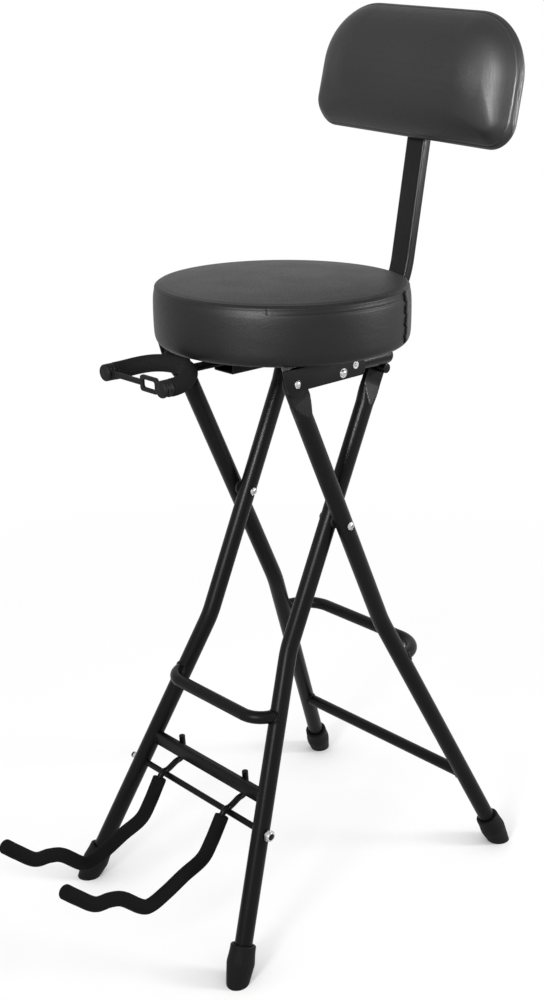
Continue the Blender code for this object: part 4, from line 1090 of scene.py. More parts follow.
def build_bars():
    """Footrests, the rear cross tube and the flat front bar, with weld beads where they meet the legs."""
    details = bpy.context.scene.chair_details
    beads = {"front": [], "rear": []}

    def weld(part, height, left_way, right_way, radius):
        for side, way in zip(SIDES, (left_way, right_way)):
            place = leg_point(part, side, height)
            leg_way = (leg_point(part, side, height + 0.01) - place).normalized()
            beads[part].append(saddle(place, way, radius + details.bead * 0.3, leg_way))

    for part, rest in RESTS.items():
        body = LEGS[part]["body"]
        left, right = (leg_point(part, side, rest["height"]) for side in SIDES)
        outward = Vector((0, -LEGS[part]["lean"] * rest["reach"], 0))
        path = rounded([left, left + outward, right + outward, right], rest["corner"], steps=16)
        piece = bar(f"{part}_footrest_tube", path, REST_R)
        settle(piece, "paint", body, f"{part}_footrest", angle=40)
        weld(part, rest["height"], outward, outward, REST_R)
    left, right = (leg_point("rear", side, REAR_BAR_HEIGHT) for side in SIDES)
    piece = bar("rear_cross_bar_tube", [left, right], REST_R)
    settle(piece, "paint", "rear_frame", "rear_cross_tube", angle=40)
    weld("rear", REAR_BAR_HEIGHT, X_AXIS, -X_AXIS, REST_R)
    left, right = (leg_point("front", side, FRONT_BAR_HEIGHT) for side in SIDES)
    section = box_outline(FRONT_BAR_DEEP, FRONT_BAR_TALL, FRONT_BAR_CORNER, steps=5)
    piece = sweep("front_flat_bar", [left, right], section, across=Vector((0, 1, 0)))
    settle(piece, "paint", "front_frame", "front_cross_bar", angle=30)
    weld("front", FRONT_BAR_HEIGHT, X_AXIS, -X_AXIS, FRONT_BAR_DEEP / 2)
    tree = bead_tree()
    values = {"Radius": details.bead, "Step": details.bead * 1.1, "Seed": 7}
    for part, loops in beads.items():
        piece = grow(f"{part}_weld_beads", line_mesh(f"{part}_welds", loops), tree, values)
        settle(piece, "paint", LEGS[part]["body"])


def build_seat_mount():
    """Rails, side plates, straps and board under the seat, the support rod, the sleeve and its knob."""
    edge = bpy.context.scene.chair_details.edge
    for side, sign in SIDES.items():
        path = [(sign * RAIL_X, y, RAIL_Z) for y in (RAIL_FRONT - RAIL_DOME, 0, RAIL_REAR + RAIL_DOME)]
        piece = bar(f"seat_rail_{side}_tube", path, RAIL_R, sides=32, edge=RAIL_EDGE)
        settle(piece, "paint", "seat", f"seat_rail_{side}", angle=40)

        top = BOARD_Z - GAP
        low = RAIL_Z - RAIL_R
        third = (top - low) / 3
        outline = [(PLATE_REAR - third, top), (PLATE_REAR - third * 0.25, top - third * 0.85),
                   (PLATE_REAR, top - third * 1.4), (PLATE_REAR, low + third),
                   (PLATE_REAR - 0.0008, low + third * 0.35), (PLATE_REAR - 0.004, low)]
        outline += arc((PIVOT_Y, PIVOT_HEIGHT), PLATE_LOBE, math.radians(-35), math.radians(-135), 25)
        outline += [(PIVOT_Y - PLATE_AHEAD, top)]
        piece = plate(f"side_plate_{side}_sheet", [outline], PLATE_THICK, STANDING_SIDEWAYS,
                      (sign * (PLATE_INNER + PLATE_THICK / 2), 0, 0), edge)
        settle(piece, "paint", "seat", f"side_plate_{side}")

    half = RAIL_X + RAIL_R / 2
    for label, y in STRAP_YS.items():
        outline = box_outline(2 * half, STRAP_WIDE, STRAP_CORNER, steps=5)
        piece = plate(f"seat_strap_{label}_bar", [outline], STRAP_THICK, LYING,
                      (0, y, STRAP_Z + STRAP_THICK / 2), edge)
        settle(piece, "paint", "seat", f"seat_strap_{label}")
    piece = plate("seat_board_disc", [circle(BOARD_RADIUS, 128)], BOARD_THICK, LYING,
                  (0, 0, BOARD_Z + BOARD_THICK / 2), BOARD_EDGE)
    settle(piece, "board", "seat", "seat_board")

    y = leg_point("front", "right", SUPPORT_Z).y
    path = [(x, y, SUPPORT_Z) for x in (-SUPPORT_END, 0, SUPPORT_END)]
    piece = bar("support_rod_bar", path, SUPPORT_R, edge=0.001)
    settle(piece, "paint", "front_frame", "seat_support_rod", angle=40)

    length = SLEEVE_REAR - SLEEVE_FRONT
    inside = box_outline(SLEEVE_WIDE - 2 * SLEEVE_WALL, SLEEVE_TALL - 2 * SLEEVE_WALL, radius=0.0006, steps=3)
    outlines = [box_outline(SLEEVE_WIDE, SLEEVE_TALL, radius=0.002, steps=5), inside]
    piece = plate("backrest_sleeve_tube", outlines, length, STANDING_ACROSS,
                  (0, (SLEEVE_FRONT + SLEEVE_REAR) / 2, POST_Z), SLEEVE_EDGE)
    settle(piece, "paint", "seat", "backrest_sleeve")
    ribs = bpy.context.scene.chair_details.knob_ribs
    under = POST_Z - SLEEVE_TALL / 2 - GAP
    stem = under - POST_Z + POST_THICK / 2 + GAP

    def on_knob(spots):
        return [(KNOB_RADIUS * wide, KNOB_TALL * tall) for wide, tall in spots]

    grip = smooth(on_knob(((0.72, 1), (0.93, 0.90), (1, 0.72), (1, 0.34), (0.88, 0.16), (0.52, 0.10))), 4)
    profile = on_knob(((0, 0.94), (0.55, 0.94), (0.62, 0.985))) + [tuple(p) for p in grip]
    profile += [(KNOB_RADIUS * 0.5, 0), (RIVET_SHANK, 0), (RIVET_SHANK, stem), (0, stem)]

    def scallop(turn, height):
        share = limited((height - KNOB_TALL * 0.1) / (KNOB_TALL * 0.2))
        return 1 - 0.10 * share * (0.5 - 0.5 * math.cos(ribs * turn)) ** 2

    piece = turned("clamp_knob", profile, ribs * 10, along((0, KNOB_Y, under), (0, 0, -1)), scallop)
    settle(piece, "plastic", "seat", "backrest_knob", angle=45)


def build_fasteners():
    """Slotted dome bolts, rivets and screws on each body, and the lock nuts on the cradle's axle."""
    bolts = {"rear_frame": [], "seat": [], "backrest": []}
    tails = []
    nuts = []
    axle = leg_point("front", "right", AXLE_HEIGHT)
    leg_far = PLATE_THICK + FLAT_THICK + 3 * GAP
    inner = INNER_LEG_X - LEG_R - GAP
    down = (0, 0, -1)
    for sign in SIDES.values():
        out = (sign, 0, 0)
        inward = (-sign, 0, 0)
        face = sign * (PLATE_OUTER + GAP)
        bolts["rear_frame"] += [
            fastener((face, CROSS_Y, CROSS_HEIGHT), out, CROSS_HEAD, BOLT_SHANK, PLATE_OUTER - inner),
            fastener((sign * inner, CROSS_Y, CROSS_HEIGHT), inward, CROSS_HEAD, BOLT_SHANK, TAIL_SHANK)]
        bolts["seat"] += [
            fastener((face, PIVOT_Y, PIVOT_HEIGHT), out, BOLT_HEAD, BOLT_SHANK, leg_far),
            fastener((face, PLATE_BOLT_Y, PIVOT_HEIGHT), out, BOLT_HEAD, SPACER_RADIUS, leg_far),
            fastener((face, RIVET_Y, RIVET_Z), out, SIDE_RIVET_HEAD, SPACER_RADIUS * 0.8, leg_far)]
        bolts["seat"] += [
            fastener((sign * STRAP_SCREW_X, y, STRAP_Z - GAP), down, RIVET_HEAD, RIVET_SHANK, STRAP_THICK)
            for y in STRAP_YS.values()]
        tails.append(fastener((face - sign * leg_far, PIVOT_Y, PIVOT_HEIGHT), inward, TAIL_HEAD, BOLT_SHANK,
                              TAIL_SHANK))
        share = LEFT_NUT_SHARE if sign < 0 else 1
        nuts.append(fastener((sign * (axle.x + NUT_STAND_OFF), axle.y, AXLE_HEIGHT), out,
                             NUT_ACROSS / math.sqrt(3) * share, ROD_R + 0.0002, NUT_STAND_OFF - LEG_R))
    bolts["seat"].append(fastener((0, STEM_SCREW_Y, POST_Z - SLEEVE_TALL / 2 - GAP), down, RIVET_HEAD,
                                  RIVET_SHANK, SLEEVE_TALL / 2))
    upright = post_frame()
    for step in (-1, 1):
        place = upright @ Vector((0, POST_THICK / 2 + GAP, PAD_ALONG + step * PAD_SCREW_STEP / 2))
        out = upright.to_3x3() @ Vector((0, 1, 0))
        bolts["backrest"].append(fastener(place, out, RIVET_HEAD, RIVET_SHANK, POST_THICK))

    on_sides = ("seat_pivot_bolt", "side_plate_bolt", "side_plate_rivet", "seat_screw_front",
                "seat_screw_rear")
    stands_for = {
        "rear_frame": ["cross_bolt_left", "cross_bolt_right"],
        "seat": [f"{kind}_{side}" for kind in on_sides for side in SIDES] + ["yoke_stem_screw"],
        "backrest": ["backrest_screw_lower", "backrest_screw_upper"],
    }
    tree = fastener_tree()

    def grow_fasteners(name, spots, head, seed):
        values = {"Head": head, "Shank sides": 24, "Seed": seed}
        return grow(name, fastener_mesh(f"{name}_spots", spots), tree, values)

    head = dome_head()
    for body, spots in bolts.items():
        piece = grow_fasteners(f"{body}_bolts", spots, head, 3)
        settle(piece, "zinc", body, *stands_for[body])
    piece = grow_fasteners("seat_pivot_tails", tails, head, 3)
    settle(piece, "paint", "seat")
    bpy.data.objects.remove(head)
    nut = lock_nut()
    piece = grow_fasteners("cradle_nuts", nuts, nut, 5)
    settle(piece, "zinc", "cradle", "cradle_lock_nut_left", "cradle_lock_nut_right")
    bpy.data.objects.remove(nut)


def swell(piece, voxel, limit, held, pressure=4.0):
    """Let a cover swell as cloth on a remeshed copy, and carry the copy's movement over to the piece."""
    scene = bpy.context.scene
    copy = new_object(piece.name + "_cloth", piece.data.copy())
    remesh = copy.modifiers.new("remesh", 'REMESH')
    remesh.mode = 'VOXEL'
    remesh.voxel_size = voxel
    apply_modifiers(copy)
    before = [spot.co.copy() for spot in copy.data.vertices]
    pins = copy.vertex_groups.new(name="held")
    pins.add([i for i, co in enumerate(before) if held(co)], 1.0, 'REPLACE')
    cloth = copy.modifiers.new("cloth", 'CLOTH')
    cloth.settings.quality = 5
    cloth.settings.mass = 0.3
    cloth.settings.vertex_group_mass = "held"
    cloth.settings.use_pressure = True
    cloth.settings.uniform_pressure_force = pressure
    cloth.settings.effector_weights.gravity = 0.0
    cloth.point_cache.frame_start = 1
    cloth.point_cache.frame_end = CLOTH_STEPS
    for step in range(1, CLOTH_STEPS + 1):
        scene.frame_set(step)
    mesh = evaluated_mesh(copy)
    moves = [spot.co - old for spot, old in zip(mesh.vertices, before)]
    moves = [move if move.length <= limit else move * (limit / move.length) for move in moves]
    bpy.data.meshes.remove(mesh)
    bpy.data.objects.remove(copy)
    scene.frame_set(1)
    tree = KDTree(len(before))
    for i, co in enumerate(before):
        tree.insert(co, i)
    tree.balance()
    for spot in piece.data.vertices:
        total = Vector((0, 0, 0))
        weights = 0.0
        for _, i, distance in tree.find_n(spot.co, CLOTH_NEAR):
            weight = 1 / (distance + voxel * 0.3) ** 2
            total += moves[i] * weight
            weights += weight
        spot.co += total / weights


def spaced(path, step_at):
    """Points along a path, closer together where step_at(point) is small."""
    kept = [path[0]]
    for point in path[1:-1]:
        if (point - kept[-1]).length >= step_at(point):
            kept.append(point)
    return kept + [path[-1]]


def build_seat_cushion():
    """The round seat: a crowned top panel, a sewn edge, a drawn-in side band and its overlapped joint."""
    details = bpy.context.scene.chair_details
    shrink = details.swell * 0.35
    side = SEAT_RADIUS - shrink
    top = SEAT_THICK - shrink
    shoulder = top - 0.0032
    outline = smooth([(0.0, top), (0.050, top - 0.0002), (0.095, top - 0.0009), (0.124, top - 0.0017),
                      (side - 0.0140, top - 0.0024), (side - 0.0080, shoulder),
                      (side - 0.0056, (shoulder + SEAT_SEAM) / 2), (side - 0.0042, SEAT_SEAM),
                      (side - 0.0024, SEAT_SEAM - 0.0045), (side - 0.0006, SEAT_SEAM - 0.014),
                      (side, 0.034), (side, 0.018), (side - 0.0005, 0.0068), (side - 0.0025, 0.0003),
                      (side - 0.0070, -SEAT_SKIRT)], 24)

    def step_at(point):
        near_seam = -0.013 < point.y - SEAT_SEAM < 0.004
        return 0.0007 if near_seam and point.x > 0.13 else 0.0026 if point.x > 0.11 else 0.006

    profile = [tuple(p) for p in spaced(outline, step_at)]
    profile += [(SEAT_RECESS, -SEAT_SKIRT), (SEAT_RECESS, 0.0), (0.09, 0.0), (0.04, 0.0), (0.0, 0.0)]
    whole, even, fine = 2 * math.pi, 132, 0.0011
    turns = {round(whole * i / even, 5) for i in range(even)}
    for middle, reach in ((TICK_ANGLE, 0.004), (FLAP_ANGLE, FLAP_WIDE + 0.006)):
        steps = int(reach / fine)
        turns |= {round((middle + k * fine / SEAT_RADIUS) % whole, 5) for k in range(-steps, steps + 1)}
    turns = sorted(turns)
    turns = [a for a, b in zip(turns, turns[1:] + [turns[0] + whole]) if b - a > 0.004]
    piece = turned("seat_upholstery", profile, turns)

    def held(co):
        return co.z < 0.004 or (abs(co.z - SEAT_SEAM) < 0.003 and co.xy.length > 0.13)

    swell(piece, SEAT_VOXEL, details.swell, held)
    for spot in piece.data.vertices:
        sew_seat(spot, details.seam)
    in_seam = [spot.co.xy.length for spot in piece.data.vertices
               if abs(spot.co.z - SEAT_SEAM) < 0.0006 and spot.co.xy.length > SEAT_RECESS]
    reach = sum(in_seam) / len(in_seam)
    subdivide(piece)
    at_joint = [spot.co for spot in piece.data.vertices if spot.co.xy.length > SEAT_RECESS + 0.01
                and abs(math.atan2(spot.co.y, spot.co.x) - FLAP_ANGLE) < 0.012]
    cut_edge = []
    for share in shares(60):
        height = 0.004 + (SEAT_SEAM - 0.006) * share
        far = max(co.xy.length for co in at_joint if abs(co.z - height) < 0.002) - 0.0004
        turn = FLAP_ANGLE + joint_wave(height) / SEAT_RADIUS
        cut_edge.append(Vector((far * math.cos(turn), far * math.sin(turn), CUSHION_Z + height)))
    shade(piece, 60)
    piece.data.transform(Matrix.Translation((0, 0, CUSHION_Z)))
    settle(piece, "leather", "seat", "seat_cushion")

    loop = [(x, y, CUSHION_Z + SEAT_SEAM - 0.0001) for x, y in circle(reach, 360)]
    tree = stitch_tree("seam_stitches", LOOKS["thread"])
    values = {"Length": details.stitch, "Radius": details.thread, "Step": details.stitch * 1.15}
    piece = grow("seat_seam_stitches", line_mesh("seat_seam", [loop]), tree, values)
    settle(piece, "thread", "seat")
    piece = bar("seat_joint_edge", cut_edge, radius=0.0009, sides=10, edge=0.0004)
    settle(piece, "foam", "seat", angle=40, slot="leather")


def joint_wave(height):
    """How far the cut edge of the side band's joint wanders sideways."""
    return 0.0016 * math.sin(height * 420) + 0.0009 * math.sin(height * 910 + 1.0)


def sew_seat(spot, depth):
    """Draw one point of the seat's cover into its seams."""
    flat = spot.co.xy
    reach = flat.length
    if reach < TOP_PANEL or spot.co.z < 0.003:
        return
    turn = math.atan2(flat.y, flat.x)
    under = SEAT_SEAM - spot.co.z
    move = -1.5 * depth * bell(under, SEAM_WIDE)
    # a lip just under the seam, and a crease below it between the tick and the joint
    move += 0.5 * depth * bell(under - LIP_BELOW, LIP_WIDE)
    along_front = limited(min(turn - TICK_ANGLE, FLAP_ANGLE - turn) * 4)
    move -= 0.6 * depth * along_front * bell(under - CREASE_BELOW, CREASE_WIDE)
    if 0 < under < TICK_LONG:
        move -= 0.6 * depth * bell((turn - TICK_ANGLE) * SEAT_RADIUS, TICK_WIDE)
    if under > -0.0005:
        past_edge = (turn - FLAP_ANGLE) * SEAT_RADIUS - joint_wave(spot.co.z)
        if abs(past_edge) < FLAP_REACH:
            rise = 1 / (1 + math.exp(-past_edge / 0.0005))
            fall = 1 / (1 + math.exp((past_edge - FLAP_WIDE) / 0.0022))
            fade = min(1.0, under / 0.004 + 0.2)
            move += FLAP_RISE * rise * fall * fade
            move -= 0.0010 * fade * bell(past_edge + 0.0010, 0.0009)
    scale = (reach + move) / reach
    spot.co.x *= scale
    spot.co.y *= scale


def pad_ring(inset):
    """The pad's outline drawn in: wide round corners above, tighter ones below and a slight taper."""
    corners = ((1, 1, PAD_TOP_CORNER), (-1, 1, PAD_TOP_CORNER),
               (-1, -1, PAD_LOW_CORNER), (1, -1, PAD_LOW_CORNER))
    points_after = (34, 8, 44, 8)
    spans = []
    for i, (sx, sz, corner) in enumerate(corners):
        radius = max(corner - inset, min(PAD_TALL / 2 - inset, inset * 1.1))
        middle = (sx * (PAD_WIDE / 2 - inset - radius), sz * (PAD_TALL / 2 - inset - radius))
        spans.append([Vector(p) for p in arc(middle, radius, math.pi / 2 * i, math.pi / 2, 17)])
    ring = []
    for i, span in enumerate(spans):
        steps = points_after[i] + 1
        ring += span + [span[-1].lerp(spans[(i + 1) % 4][0], k / steps) for k in range(1, steps)]
    return [(x * (1 - PAD_TAPER * 2 * z / PAD_TALL), z) for x, z in ring]


def pad_frame():
    """The frame at the middle of the pad, which sits a little to the right and turned on its post."""
    return post_frame() @ Matrix.Translation((PAD_SHIFT, 0, PAD_ALONG)) @ Matrix.Rotation(PAD_ROLL, 4, 'Y')


def build_backrest_pad():
    """The backrest pad: a pillow-shaped front panel, a sewn rim near its back and a flat back."""
    details = bpy.context.scene.chair_details
    shrink = details.swell * 0.3
    front_y = PAD_BACK_Y - PAD_THICK + shrink
    steps = 3
    section = smooth(PAD_SECTION, steps)
    rings = [[(x * share, 0.0, z * share) for x, z in pad_ring(section[0].x - PAD_PROUD)]
             for share in (0.25, 0.5, 0.75)]
    rings += [[(x, depth, z) for x, z in pad_ring(inset - PAD_PROUD)] for inset, depth in section]
    rings += [[(x * share, PAD_THICK, z * share) for x, z in pad_ring(section[-1].x - PAD_PROUD)]
              for share in (0.85, 0.6, 0.3)]
    deep_share = (PAD_THICK - shrink) / PAD_THICK
    form = bmesh.new()
    spots = [[form.verts.new((x, front_y + y * deep_share, z)) for x, y, z in ring] for ring in rings]
    nose = form.verts.new((0, front_y, 0))
    tail = form.verts.new((0, PAD_BACK_Y, 0))
    for i in range(len(spots[0])):
        form.faces.new((nose, spots[0][i - 1], spots[0][i]))
        form.faces.new((tail, spots[-1][i], spots[-1][i - 1]))
        for ahead, behind in zip(spots, spots[1:]):
            form.faces.new((ahead[i - 1], ahead[i], behind[i], behind[i - 1]))
    form.verts.index_update()
    seam = {spot.index for spot in spots[3 + PAD_SEAM * steps]}
    seam_y = front_y + PAD_SECTION[PAD_SEAM][1] * deep_share
    piece = new_piece("backrest_upholstery", form)
    swell(piece, PAD_VOXEL, details.swell,
          lambda co: co.y > PAD_BACK_Y - 0.006 or abs(co.y - seam_y) < 0.0022)
    bpy.context.view_layer.update()
    for i in seam:
        spot = piece.data.vertices[i]
        spot.co -= spot.normal * details.seam
    subdivide(piece)
    shade(piece, 60)
    piece.data.transform(pad_frame())
    settle(piece, "pad_leather", "backrest", "backrest_pad")


def build_backrest_frame():
    """The bent flat post and the board behind the pad, with the staples that hold the cover."""
    details = bpy.context.scene.chair_details
    turn = math.pi / 2 - POST_LEAN
    centre = (POST_BEND_Y, POST_Z + POST_BEND_RADIUS)
    bend = arc(centre, POST_BEND_RADIUS, -math.pi / 2, turn, 28)
    upright = post_frame()
    path = [Vector((0, POST_TAIL_Y, POST_Z)), Vector((0, POST_BEND_Y - 0.004, POST_Z))]
    path += [Vector((0, y, z)) for y, z in bend]
    path += [upright @ Vector((0, 0, 0.004)), upright @ Vector((0, 0, POST_UPRIGHT))]
    section = box_outline(POST_WIDE, POST_THICK, POST_CORNER, steps=5)
    piece = sweep("backrest_post_bar", path, section, across=X_AXIS)
    settle(piece, "paint", "backrest", "backrest_post", angle=30)

    wide, tall = PAD_WIDE - 2 * PAD_BOARD_INSET, PAD_TALL - 2 * PAD_BOARD_INSET
    board_y = -POST_THICK / 2 - GAP - PAD_BOARD_THICK / 2
    outline = box_outline(wide, tall, PAD_BOARD_CORNER, steps=10)
    piece = plate("backrest_board_panel", [outline], PAD_BOARD_THICK, STANDING_ACROSS, (0, board_y, 0),
                  PAD_BOARD_EDGE)
    piece.data.transform(pad_frame())
    settle(piece, "board", "backrest", "backrest_board")

    tree = stitch_tree("staples", LOOKS["zinc"])
    values = {"Length": details.staple, "Radius": STAPLE_RADIUS, "Step": details.staple * 2.2}
    rim = [pad_frame() @ Vector((x, board_y + PAD_BOARD_THICK / 2, z))
           for x, z in box_outline(wide - 2 * STAPLE_INSET, tall - 2 * STAPLE_INSET,
                                   PAD_BOARD_CORNER - STAPLE_INSET, steps=10)]
    piece = grow("backrest_staples", line_mesh("backrest_rim", [rim]), tree, values)
    settle(piece, "zinc", "backrest")
    rim = [(x, y, BOARD_Z) for x, y in circle(BOARD_RADIUS - STAPLE_INSET, 120)]
    piece = grow("seat_staples", line_mesh("seat_rim", [rim]), tree, values)
    settle(piece, "zinc", "seat")


def build_yoke():
    """The foam-covered neck yoke with its stem and its rubber end caps."""
    bow_y = YOKE_BASE_Y - YOKE_BOW
    turns = [math.pi * share for share in shares(40)]
    bow = [Vector((-YOKE_HALF_WIDE * math.cos(a), bow_y + YOKE_BOW * math.sin(a),
                   YOKE_Z + YOKE_RISE * (1 - math.cos(a) ** 4))) for a in turns]
    left = Vector((-YOKE_HALF_WIDE, YOKE_TIP_Y, YOKE_Z))
    right = Vector((YOKE_HALF_WIDE, YOKE_TIP_Y, YOKE_Z))
    piece = bar("yoke_foam_sleeve", [left] + bow + [right], YOKE_FOAM_R, sides=32, edge=0.0016)
    settle(piece, "foam", "seat", "yoke_foam", angle=50)

    front, rear = YOKE_BASE_Y - ROD_R, SLEEVE_FRONT + STEM_TAIL
    outline = [(x, y + (front + rear) / 2) for x, y in box_outline(STEM_WIDE, rear - front, STEM_CORNER, 5)]
    piece = plate("yoke_stem_bar", [outline], STEM_THICK, LYING, (0, 0, YOKE_Z), STEM_EDGE)
    settle(piece, "paint", "seat", "yoke_stem")

    neck = BAND_THICK + 2 * GAP
    top = 2 * CAP_FLANGE + neck
    outer = CAP_FLANGE + neck
    face = ((0, 0), (0.55, 0), (0.62, 0.0004), (0.74, 0.0004), (0.80, 0), (0.91, 0.0004), (0.985, 0.0013),
            (1, 0.0022))
    profile = [(CAP_RADIUS * share, top - drop) for share, drop in face]
    profile += [(CAP_RADIUS, outer + CAP_EDGE), (CAP_RADIUS - CAP_EDGE, outer), (CAP_NECK, outer)]
    profile += [(CAP_NECK, CAP_FLANGE), (CAP_RADIUS - CAP_EDGE, CAP_FLANGE)]
    profile += [(CAP_RADIUS, CAP_FLANGE - CAP_EDGE), (CAP_RADIUS, CAP_EDGE), (CAP_RADIUS - CAP_EDGE, 0)]
    profile += [(0, 0)]
    for side, tip in (("left", left), ("right", right)):
        piece = turned(f"yoke_cap_{side}_rubber", profile, 40, along(tip - Vector((0, GAP, 0)), (0, -1, 0)))
        settle(piece, "rubber", "seat", f"yoke_cap_{side}", angle=40)


def build_neck_band():
    """The rubber band: an eye on the left cap, a strip, a finger loop and an open hook on the right cap."""
    hole = CAP_NECK + GAP
    wide = 2 * YOKE_HALF_WIDE
    loop_mid = wide - LOOP_FROM_EYE
    near, far = loop_mid - LOOP_WIDE / 2, loop_mid + LOOP_WIDE / 2
    strip, tall = BAND_TALL / 2, LOOP_TALL / 2
    start = math.asin(strip / EYE_RADIUS)
    corner = LOOP_CORNER
    eye = arc((0, 0), EYE_RADIUS, 2 * math.pi - start, -(2 * math.pi - 2 * start), 40)
    outline = [(near, strip)] + arc((near + corner, tall - corner), corner, math.pi, -math.pi / 2, 7)
    outline += arc((far - corner, tall - corner), corner, math.pi / 2, -math.pi / 2, 7) + [(far, strip)]
    outline += arc((wide, 0), EYE_RADIUS, math.pi - start, -(math.pi - start), 24)
    outline += [(wide + EYE_RADIUS, -EYE_RADIUS * 0.5), (wide + EYE_RADIUS - HOOK_EDGE, -EYE_RADIUS * 0.6)]
    outline += [(wide + hole + HOOK_EDGE, -EYE_RADIUS * 0.6), (wide + hole, -EYE_RADIUS * 0.5)]
    outline += arc((wide, 0), hole, 0, math.pi, 20)
    outline += [(wide - hole, -EYE_RADIUS * 0.6), (wide - EYE_RADIUS, -strip), (far, -strip)]
    outline += arc((far - corner, corner - tall), corner, 0, -math.pi / 2, 7)
    outline += arc((near + corner, corner - tall), corner, -math.pi / 2, -math.pi / 2, 7)
    outline += [(near, -strip)] + eye
    opening = box_outline(LOOP_WIDE - 2 * LOOP_WALL, LOOP_TALL - 2 * LOOP_WALL, radius=0.0025)
    window = [(x + loop_mid, z) for x, z in opening]
    piece = plate("neck_band_rubber", [outline, window, circle(hole, 32)], BAND_THICK, STANDING_ACROSS,
                  (-YOKE_HALF_WIDE, BAND_Y, YOKE_Z), BAND_EDGE)
    settle(piece, "rubber", "neck_band", "yoke_band")


def arm_path(sign):
    """A cradle arm's centre line: stub behind the front bar, over the axle, then the padded hook."""
    axle = leg_point("front", "right", AXLE_HEIGHT)
    stub_y = leg_point("front", "right", FRONT_BAR_HEIGHT).y + FRONT_BAR_DEEP / 2 + GAP + ROD_R
    bend_z = FRONT_BAR_HEIGHT - FRONT_BAR_TALL / 2 - 0.005
    over_z = AXLE_HEIGHT + (2 * ROD_R + GAP) * 1.16
    spots = [(stub_y, FRONT_BAR_HEIGHT + FRONT_BAR_TALL / 2 + 0.006), (stub_y, bend_z),
             ((stub_y + axle.y) / 2, (bend_z + over_z) / 2), (axle.y, over_z)]
    spots += [(axle.y - ahead, AXLE_HEIGHT + up) for ahead, up in ARM_BENDS]
    return smooth([(sign * ARM_X, y, z) for y, z in spots], ARM_STEPS)


def build_cradle():
    """The guitar cradle: an axle in the front legs and two bent arms in foam sleeves."""
    axle = leg_point("front", "right", AXLE_HEIGHT)
    reach = axle.x + NUT_STAND_OFF + NUT_TALL + GAP
    path = [(x, axle.y, AXLE_HEIGHT) for x in (-reach, 0, reach)]
    piece = bar("cradle_axle_rod", path, ROD_R, sides=24, edge=0.0008)
    settle(piece, "paint", "cradle", "cradle_axle", angle=40)
    for side, sign in SIDES.items():
        path = arm_path(sign)
        piece = bar(f"cradle_arm_{side}_rod", path, ROD_R, sides=20, edge=0.0009)
        settle(piece, "paint", "cradle", f"cradle_arm_{side}", angle=40)
        tip = (path[-1] - path[-2]).normalized()
        foam_path = path[FOAM_FROM:] + [path[-1] + tip * ARM_TIP_FOAM]
        piece = bar(f"cradle_foam_{side}_sleeve", foam_path, ARM_FOAM_R, sides=32, edge=0.0015)
        settle(piece, "foam", "cradle", f"cradle_foam_{side}", angle=50)


